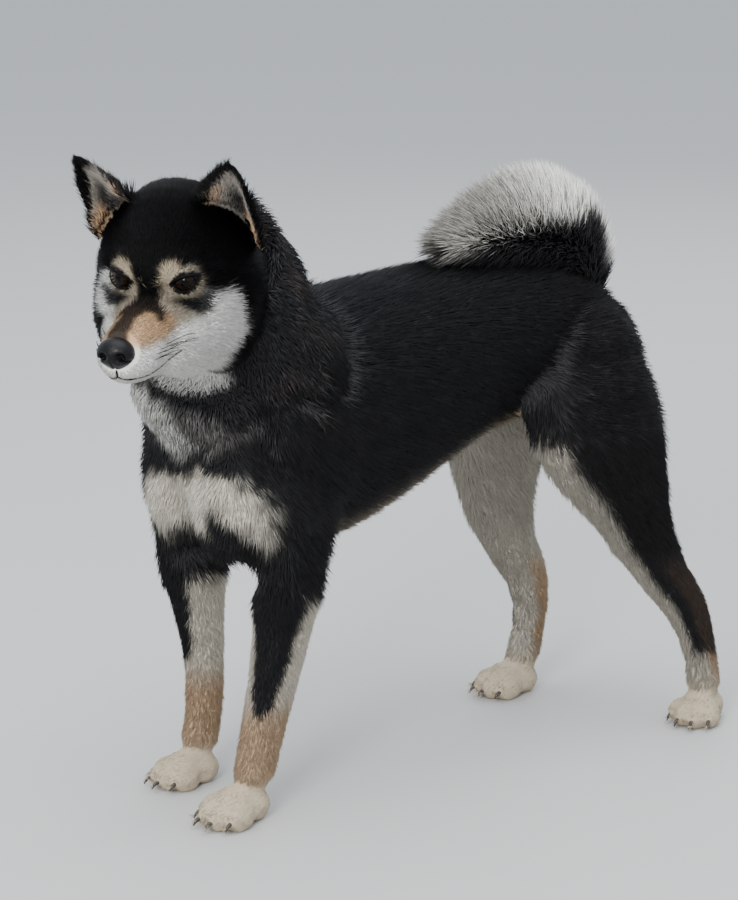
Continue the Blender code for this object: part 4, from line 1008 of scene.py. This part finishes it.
coat("coat_ear_backs", "ears", back_zone, 7000, 1, 0.0009, 24, bushy[triangles[:, 0]],
     reach=1.8, stand=1.5, tint=BLACK * 0.25)
left = middle_of[:, 0] - CENTRED.x > 0.022
coat("coat_neck_left", "neck", triangles_of(["neck"], left), 14500, 2, 0.0014, 14)
coat("coat_neck_right", "neck", triangles_of(["neck"], ~left), 14500, 2, 0.0014, 15)
left = middle_of[:, 0] - CENTRED.x > 0.0
coat("coat_flank_left", "torso", triangles_of(["torso"], left), 37000, 1, 0.0013, 16, swing=7)
coat("coat_flank_right", "torso", triangles_of(["torso"], ~left), 37000, 1, 0.0013, 17, swing=7)
coat("coat_thighs", "hindleg", triangles_of(["thigh_left", "thigh_right"]), 26000, 1, 0.0013, 18, swing=8)
coat("coat_forelegs", "foreleg", triangles_of(["foreleg_left", "foreleg_right"]), 22000, 1, 0.0010, 19)
coat("coat_hindlegs", "hindleg", triangles_of(["hindleg_left", "hindleg_right"]), 19000, 1, 0.0010, 20)
coat("coat_forepaws", "foreleg", triangles_of(["forepaw_left", "forepaw_right"]), 6000, 1, 0.0008, 21)
coat("coat_hindpaws", "hindleg", triangles_of(["hindpaw_left", "hindpaw_right"]), 6000, 1, 0.0008, 22)

# The tail: a bushy brush that curls forwards over the back.
# Long hair stands out from its core in a fan and leans to its tip, black beneath and silver above.

TAIL_HAIR_COUNT = 17500


def tail_coat():
    chance = np.random.default_rng(31)
    last = len(TAIL_RINGS) - 1
    grid = np.linspace(0.0, last, 120)
    frames = [ring_frame(TAIL_RINGS, g) for g in grid]
    centres, tangents, acrosses, upwards = (np.array([f[k] for f in frames]) for k in range(4))
    radii = np.array([f[4] for f in frames])
    place = last * (0.03 + 0.97 * chance.random(TAIL_HAIR_COUNT) ** 0.85)
    # More hair on the outside of the curl than against the back
    turn = np.clip(chance.normal(0, 1.25, TAIL_HAIR_COUNT), -math.pi, math.pi)

    def along_tail(values):
        return np.stack([np.interp(place, grid, values[:, k]) for k in range(values.shape[1])], 1)

    centre, tangent = along_tail(centres), unit(along_tail(tangents))
    across, upward, reach = unit(along_tail(acrosses)), unit(along_tail(upwards)), along_tail(radii)

    def out(angle):
        high = np.where(np.cos(angle) > 0, reach[:, 1], reach[:, 2])
        return across * (reach[:, 0] * np.sin(angle))[:, None] + upward * (high * np.cos(angle))[:, None]

    swept = turn - math.radians(26) * np.sin(2 * turn)
    swept += chance.normal(0, math.radians(7), TAIL_HAIR_COUNT)
    full = 0.74 + 0.34 * chance.random(TAIL_HAIR_COUNT) ** 0.7
    lean = tangent * (0.024 * chance.uniform(0.4, 1.2, TAIL_HAIR_COUNT))[:, None]
    root = centre + out(turn) * TAIL_CORE * 0.85
    tip = centre + out(swept) * full[:, None] + lean
    knee = centre + out(turn * 0.5 + swept * 0.5) * (full * 0.72)[:, None] + lean * 0.30
    shift = np.array(CENTRED)
    spine = [root + shift, knee * 0.85 + tip * 0.15 + shift, tip + shift]
    flat = unit(np.cross(tip - root, tangent))
    flat = unit(np.cross(flat, tip - root))
    # Colour by where the hair shows: silver above and round the rim, black low on the sides, grizzled forwards
    shown = root * 0.35 + tip * 0.65
    black_places = [0.04, 0.07, 0.10, 0.13, 0.155, 0.175, 0.19]
    black_below = np.interp(shown[:, 1], black_places, [0.400, 0.412, 0.419, 0.422, 0.421, 0.427, 0.417])
    height = shown[:, 2] - black_below + chance.normal(0, 0.0035, TAIL_HAIR_COUNT)
    silver = np.maximum(step(-0.004, 0.006, height), step(0.188, 0.197, shown[:, 1]) * step(0.375, 0.395, shown[:, 2]))
    pepper = step(0.150, 0.070, shown[:, 1])
    dark_tip = chance.random(TAIL_HAIR_COUNT) < 0.16 + 0.38 * pepper
    bright = WHITE * (1.10 - 0.62 * pepper)[:, None] + CREAM * (0.05 * pepper)[:, None]
    bright = bright * chance.uniform(0.70, 1.15, TAIL_HAIR_COUNT)[:, None]
    dark = BLACK * chance.uniform(0.4, 1.0, TAIL_HAIR_COUNT)[:, None]
    tips = dark + (bright * np.where(dark_tip, 0.30, 1.0)[:, None] - dark) * silver[:, None]
    roots = dark * 0.5 + (bright * 0.55 - dark * 0.5) * (silver * 0.85)[:, None]
    widths = chance.uniform(0.0007, 0.0012, TAIL_HAIR_COUNT)
    flat_map = np.stack([0.5 + turn / (2 * math.pi) * 0.97, 0.02 + 0.96 * place / last], 1)
    mesh = tuft_mesh("coat_tail", spine, flat, widths, roots, tips, flat_map)
    return show("coat_tail", mesh, HAIR)


tail_piece = tail_coat()
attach(tail_piece, "root")

# The eyes: wet dark balls with a brown iris, set deep between black lid rims with pointed corners.

EYE_WHITE, IRIS, PUPIL = (0.03, 0.025, 0.022), (0.0100, 0.0050, 0.0034), (0.001, 0.001, 0.001)
IRIS_REACH, PUPIL_REACH = 0.0066, 0.0027


def eye_material():
    material = bpy.data.materials.new("wet_eye")
    material.use_nodes = True
    tree = material.node_tree
    shader = tree.nodes["Principled BSDF"]
    shader.inputs["Roughness"].default_value = 0.08
    shader.inputs["Specular IOR Level"].default_value = 0.10
    painted_on = node(tree, "ShaderNodeAttribute", attribute_name="coat_colour")
    tree.links.new(painted_on.outputs["Color"], shader.inputs["Base Color"])
    return material


WET_EYE = eye_material()
for side, hand in ((1, "left"), (-1, "right")):
    ball = bmesh.new()
    bmesh.ops.create_uvsphere(ball, u_segments=64, v_segments=48, radius=1.0)
    mesh = bpy.data.meshes.new("eye")
    ball.to_mesh(mesh)
    ball.free()
    local = vertex_array(mesh)[:, [0, 2, 1]]
    off_axis = np.hypot(local[:, 0], local[:, 1]) * EYE_RADIUS
    bulge = step(0.0072, 0.0, off_axis) * 0.0009 * (local[:, 2] > 0)
    spots = from_head(from_eye_view(local * (EYE_RADIUS + bulge)[:, None], side))
    mesh.vertices.foreach_set("co", spots.astype(np.float32).ravel())
    ring = step(0.0075, 0.0060, off_axis)[:, None] * (local[:, 2] > 0)[:, None]
    streak = 1 + 0.35 * np.sin(np.arctan2(local[:, 1], local[:, 0]) * 37)[:, None]
    shade = np.array(EYE_WHITE) * 0.35 + (np.array(IRIS) * streak - np.array(EYE_WHITE) * 0.35) * ring
    dark = np.maximum(step(PUPIL_REACH + 0.0004, PUPIL_REACH, off_axis), 0.85 * step(0.0056, 0.0068, off_axis) * step(0.0085, 0.0070, off_axis))
    shade = shade + (np.array(PUPIL) - shade) * (dark * (local[:, 2] > 0))[:, None]
    give_colour(mesh, shade)
    fix = bmesh.new()
    fix.from_mesh(mesh)
    bmesh.ops.recalc_face_normals(fix, faces=fix.faces)
    fix.to_mesh(mesh)
    fix.free()
    mesh.polygons.foreach_set("use_smooth", np.full(len(mesh.polygons), True))
    eye = show("eyeball_" + hand, mesh, WET_EYE)
    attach(eye, "root")
    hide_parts("eye_" + hand)


def leather_material(name, colour, roughness, coat_weight, grain_scale, grain_depth, gloss=0.14):
    """Bare black skin: pebbled, a little moist."""
    material = bpy.data.materials.new(name)
    material.use_nodes = True
    tree = material.node_tree
    shader = tree.nodes["Principled BSDF"]
    shader.inputs["Roughness"].default_value = roughness
    shader.inputs["Specular IOR Level"].default_value = gloss
    shader.inputs["Coat Weight"].default_value = coat_weight
    shader.inputs["Coat Roughness"].default_value = 0.18
    place = node(tree, "ShaderNodeTexCoord")
    cells = node(tree, "ShaderNodeTexVoronoi")
    cells.inputs["Scale"].default_value = grain_scale
    tint = node(tree, "ShaderNodeMixRGB")
    tint.inputs["Color1"].default_value = (*colour, 1.0)
    tint.inputs["Color2"].default_value = (*(c * 2.2 for c in colour), 1.0)
    bump = node(tree, "ShaderNodeBump")
    bump.inputs["Strength"].default_value = 0.6
    bump.inputs["Distance"].default_value = grain_depth
    tree.links.new(place.outputs["Object"], cells.inputs["Vector"])
    tree.links.new(cells.outputs["Distance"], tint.inputs["Fac"])
    tree.links.new(tint.outputs["Color"], shader.inputs["Base Color"])
    tree.links.new(cells.outputs["Distance"], bump.inputs["Height"])
    tree.links.new(bump.outputs["Normal"], shader.inputs["Normal"])
    return material


LID_SKIN = leather_material("lid_skin", (0.0025, 0.0022, 0.0022), 0.6, 0.0, 900.0, 0.0002, 0.04)
RIM_STEPS, RIM_SIDES = 64, 8
for side, hand in ((1, "left"), (-1, "right")):
    angle = np.linspace(0, 2 * math.pi, RIM_STEPS, endpoint=False)
    along = LID_OPENING[0] * 1.03 * np.cos(angle) + LID_SHIFT[0]
    high = LID_OPENING[1] * 1.03 * np.sin(angle) * (1 - 0.25 * np.cos(angle) ** 2) + LID_SHIFT[1]
    out = np.sqrt(np.maximum(LID_RADIUS ** 2 - along ** 2 - high ** 2, 0.0030 ** 2))
    route = np.stack([along, high, out], 1)
    run = unit(np.roll(route, -1, axis=0) - np.roll(route, 1, axis=0))
    normal = unit(route)
    across = np.cross(run, normal)
    thick = 0.00050 + 0.00030 * np.maximum(np.sin(angle), 0)
    thick = thick * (0.75 + 0.25 * np.abs(np.sin(angle)))
    rings = []
    for k in range(RIM_SIDES):
        spin = 2 * math.pi * k / RIM_SIDES
        rings.append(route + (across * math.cos(spin) * 1.3 + normal * math.sin(spin)) * thick[:, None])
    places = from_head(from_eye_view(np.stack(rings, 1).reshape(-1, 3), side))
    corners = []
    for i in range(RIM_STEPS):
        for k in range(RIM_SIDES):
            a, b = i * RIM_SIDES + k, i * RIM_SIDES + (k + 1) % RIM_SIDES
            c, d = (a + RIM_SIDES) % (RIM_STEPS * RIM_SIDES), (b + RIM_SIDES) % (RIM_STEPS * RIM_SIDES)
            corners += [(a, b, d), (a, d, c)] if side > 0 else [(a, d, b), (a, c, d)]
    lids = show("lid_rim_" + hand, array_mesh("lid_rim_" + hand, places, np.array(corners)), LID_SKIN)
    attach(lids, "root")

# The nose: a pad of black pebbled leather with comma-shaped nostrils and a groove down its middle.

NOSE_CENTRE = np.array((-0.0010, -0.0640, -0.0295))
NOSE_RADII = np.array((0.0134, 0.0105, 0.0112))
ball = bmesh.new()
bmesh.ops.create_icosphere(ball, subdivisions=6, radius=1.0)
nose_mesh = bpy.data.meshes.new("nose")
ball.to_mesh(nose_mesh)
ball.free()
out = vertex_array(nose_mesh)
front = np.maximum(-out[:, 1], 0)
squared = np.sign(out) * np.abs(out) ** 0.86
shape = squared / np.linalg.norm(squared, axis=1, keepdims=True) ** 0.8
local = shape * NOSE_RADII
local[:, 0] *= 1 - 0.20 * step(0.0, 1.0, -out[:, 2])
local[:, 1] += 0.0026 * step(0.1, 1.0, -out[:, 2]) * front
for sign in (1, -1):
    nostril = ((local[:, 0] - sign * 0.0062) / 0.0030) ** 2 + ((local[:, 2] - 0.0002) / 0.0026) ** 2
    slit_line = np.abs(local[:, 2] + 0.0020 + (np.abs(local[:, 0]) - 0.0062) * 0.25) / 0.0011
    slit_reach = step(0.0050, 0.0070, local[:, 0] * sign) * step(0.0135, 0.0105, local[:, 0] * sign)
    local[:, 1] += 0.0052 * np.exp(-nostril ** 1.4) * (front > 0)
    local[:, 1] += 0.0030 * np.exp(-slit_line ** 2) * slit_reach * (front > 0)
local[:, 1] += 0.0012 * np.exp(-(local[:, 0] / 0.0007) ** 2) * step(0.001, -0.004, local[:, 2]) * (front > 0)
nose_mesh.vertices.foreach_set("co", from_head(local + NOSE_CENTRE).astype(np.float32).ravel())
nose_mesh.polygons.foreach_set("use_smooth", np.full(len(nose_mesh.polygons), True))
NOSE_LEATHER = leather_material("nose_leather", (0.0020, 0.0020, 0.0023), 0.30, 0.06, 1500.0, 0.00030)
nose_piece = show("nose_pad", nose_mesh, NOSE_LEATHER)
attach(nose_piece, "root")
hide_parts("nose")

# The mouth: closed, its black lip showing as a thin line from under the nose to each corner.

skin_tree = BVHTree.FromPolygons([Vector(p) for p in skin], triangles.tolist())
LIP_LINE = [
    (0.0, -0.0660, -0.0400), (0.0, -0.0650, -0.0440), (0.0040, -0.0630, -0.0468), (0.0085, -0.0600, -0.0482),
    (0.0145, -0.0490, -0.0507), (0.0195, -0.0370, -0.0500), (0.0245, -0.0265, -0.0465), (0.0285, -0.0190, -0.0420),
]


def tube(name, knots, thickness, material, sides=8, steps=48):
    """A closed tube through knots, rounded by a spline, thickness given at even places along it."""
    knots = np.array(knots, float)
    at = np.linspace(0, len(knots) - 1, steps)
    k = np.clip(at.astype(int), 0, len(knots) - 2)
    part = (at - k)[:, None]
    before, after = knots[np.maximum(k - 1, 0)], knots[np.minimum(k + 2, len(knots) - 1)]
    a, b = knots[k], knots[k + 1]
    route = a + 0.5 * part * (b - before + part * (2 * before - 5 * a + 4 * b - after + part * (3 * (a - b) + after - before)))
    run = unit(np.gradient(route, axis=0))
    across = unit(np.cross(run, (0.13, 0.24, 0.96)))
    over = np.cross(run, across)
    thick = np.interp(np.linspace(0, 1, steps), np.linspace(0, 1, len(thickness)), thickness)[:, None]
    rings = [route + (across * math.cos(2 * math.pi * j / sides) + over * math.sin(2 * math.pi * j / sides)) * thick for j in range(sides)]
    places = np.concatenate([np.stack(rings, 1).reshape(-1, 3), route[:1], route[-1:]])
    corners = []
    for i in range(steps - 1):
        for j in range(sides):
            a, b = i * sides + j, i * sides + (j + 1) % sides
            corners += [(a, b, b + sides), (a, b + sides, a + sides)]
    first, last = steps * sides, steps * sides + 1
    for j in range(sides):
        corners.append((first, (j + 1) % sides, j))
        corners.append((last, (steps - 1) * sides + j, (steps - 1) * sides + (j + 1) % sides))
    return places, np.array(corners)


lip_places, lip_corners = [], []
for sign in (1, -1):
    knots = []
    for x, y, z in LIP_LINE:
        on_skin, _, _, _ = skin_tree.find_nearest(Vector(from_head(np.array([(x * sign, y, z)]))[0]))
        knots.append(on_skin)
    places, corners = tube("lip", knots, (0.0007, 0.0009, 0.0008, 0.0007, 0.0006), None)
    lip_corners.append(corners + sum(len(p) for p in lip_places))
    lip_places.append(places)
lips = show("lip_line", array_mesh("lip_line", np.concatenate(lip_places), np.concatenate(lip_corners)), LID_SKIN)
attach(lips, "root")

# The whiskers: stiff black hairs in two rows on each side of the upper lip, swept back.

WHISKER_ROOTS = [  # from the side, in the head's own frame: (y, z), then length
    (-0.0460, -0.0330, 0.022), (-0.0390, -0.0325, 0.026), (-0.0320, -0.0320, 0.029),
    (-0.0500, -0.0385, 0.018), (-0.0430, -0.0390, 0.024), (-0.0350, -0.0380, 0.030), (-0.0280, -0.0365, 0.032),
]
whisker_places, whisker_corners = [], []
for sign in (1, -1):
    for k, (y, z, long) in enumerate(WHISKER_ROOTS):
        root = skin_tree.find_nearest(Vector(from_head(np.array([(0.03 * sign, y, z)]))[0]))[0]
        start = in_head(np.array([root]))[0]
        sweep = np.array((0.46 * sign, 0.86, -0.10 + 0.05 * (k % 3)))
        bow = np.array((0.10 * sign, 0.0, 0.10))
        knots = [start - sweep * 0.001, start + (sweep * 0.5 + bow) * long, start + sweep * long]
        places, corners = tube("whisker", from_head(np.array(knots)), (0.00030, 0.00022, 0.00006), None, 5, 14)
        whisker_corners.append(corners + sum(len(p) for p in whisker_places))
        whisker_places.append(places)
whisker_mesh = array_mesh("whiskers", np.concatenate(whisker_places), np.concatenate(whisker_corners))
whiskers = show("whiskers", whisker_mesh, LID_SKIN)
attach(whiskers, "root")

# The claws: four to a paw, dark horn, short and worn by the ground.

TOES = [(-0.0165, -0.0170, -10), (-0.0062, -0.0270, -3), (0.0062, -0.0270, 3), (0.0165, -0.0170, 10)]
PAWS = {
    "forepaw_left": ((0.052, -0.176), 6.0, 0.97), "forepaw_right": ((-0.037, -0.164), -4.0, 0.92),
    "hindpaw_left": ((0.086, 0.257), 22.0, 0.92), "hindpaw_right": ((-0.058, 0.172), -6.0, 0.94),
}
TOE_REACH, CLAW_RADIUS = 0.0150, 0.0018
HORN = leather_material("claw_horn", (0.030, 0.024, 0.020), 0.30, 0.3, 260.0, 0.0001)
for paw, ((x, y), turned_out, size) in PAWS.items():
    place = (
        Matrix.Translation(Vector((x, y, 0)) + CENTRED)
        @ Matrix.Rotation(math.radians(turned_out), 4, "Z")
        @ Matrix.Scale(size, 4)
    )
    all_places, all_corners = [], []
    for across, forward, turned in TOES:
        toe = place @ Matrix.Translation((across, forward, 0)) @ Matrix.Rotation(math.radians(turned), 4, "Z")
        knots = [(0, 0.6, 1.0), (0, 0.88, 0.98), (0, 1.08, 0.78), (0, 1.22, 0.42)]
        knots = [toe @ Vector((0, -ahead * TOE_REACH, 0.0088 * high)) for _, ahead, high in knots]
        places, corners = tube("claw", knots, (CLAW_RADIUS, CLAW_RADIUS * 0.95, CLAW_RADIUS * 0.7, 0.0003), None, 10, 16)
        places[:, 2] = np.maximum(places[:, 2], 0.0004)
        all_corners.append(corners + sum(len(p) for p in all_places))
        all_places.append(places)
    claws = show("claws_" + paw, array_mesh("claws_" + paw, np.concatenate(all_places), np.concatenate(all_corners)), HORN)
    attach(claws, "root")

# The stage: a flat pale floor, soft light from above and from the dog's left front.

FLOOR_SIZE, FLOOR_COLOUR = 90.0, (0.44, 0.44, 0.43)
floor_mesh = bpy.data.meshes.new("floor")
half = FLOOR_SIZE / 2
floor_mesh.from_pydata([(-half, -half, 0), (half, -half, 0), (half, half, 0), (-half, half, 0)], [], [(0, 1, 2, 3)])
floor_material = bpy.data.materials.new("pale_floor")
floor_material.use_nodes = True
floor_material.node_tree.nodes["Principled BSDF"].inputs["Base Color"].default_value = (*FLOOR_COLOUR, 1)
floor_material.node_tree.nodes["Principled BSDF"].inputs["Roughness"].default_value = 0.9
floor = show("floor", floor_mesh, floor_material)

world = bpy.data.worlds.new("soft_sky")
world.use_nodes = True
world.node_tree.nodes["Background"].inputs["Color"].default_value = (0.86, 0.92, 1.0, 1)
world.node_tree.nodes["Background"].inputs["Strength"].default_value = 1.35
bpy.context.scene.world = world


def soft_box(name, at, towards, size, watts, colour):
    light = bpy.data.lights.new(name, "AREA")
    light.shape = "SQUARE"
    light.size = size
    light.energy = watts
    light.color = colour
    lamp = bpy.data.objects.new(name, light)
    lamp.location = at
    lamp.rotation_euler = (Vector(towards) - Vector(at)).to_track_quat("-Z", "Y").to_euler()
    bpy.context.scene.collection.objects.link(lamp)


soft_box("overhead", (0.3, -0.3, 2.4), (0, 0, 0.2), 2.2, 60, (1.0, 1.0, 1.0))
soft_box("front_left", (1.6, -2.2, 1.5), (0, 0, 0.25), 0.9, 80, (1.0, 0.98, 0.95))
soft_box("behind", (-1.4, 1.8, 1.8), (0, 0, 0.3), 1.5, 20, (0.92, 0.96, 1.0))

camera_data = bpy.data.cameras.new("camera")
camera_data.lens = 109.64
camera_data.sensor_width = 36.0
camera = bpy.data.objects.new("camera", camera_data)
camera.location = Vector((1.679, -1.226, 0.776)) + CENTRED
camera.rotation_euler = (math.radians(90 - 14.2), 0, math.radians(54.4))
bpy.context.scene.collection.objects.link(camera)
bpy.context.scene.camera = camera
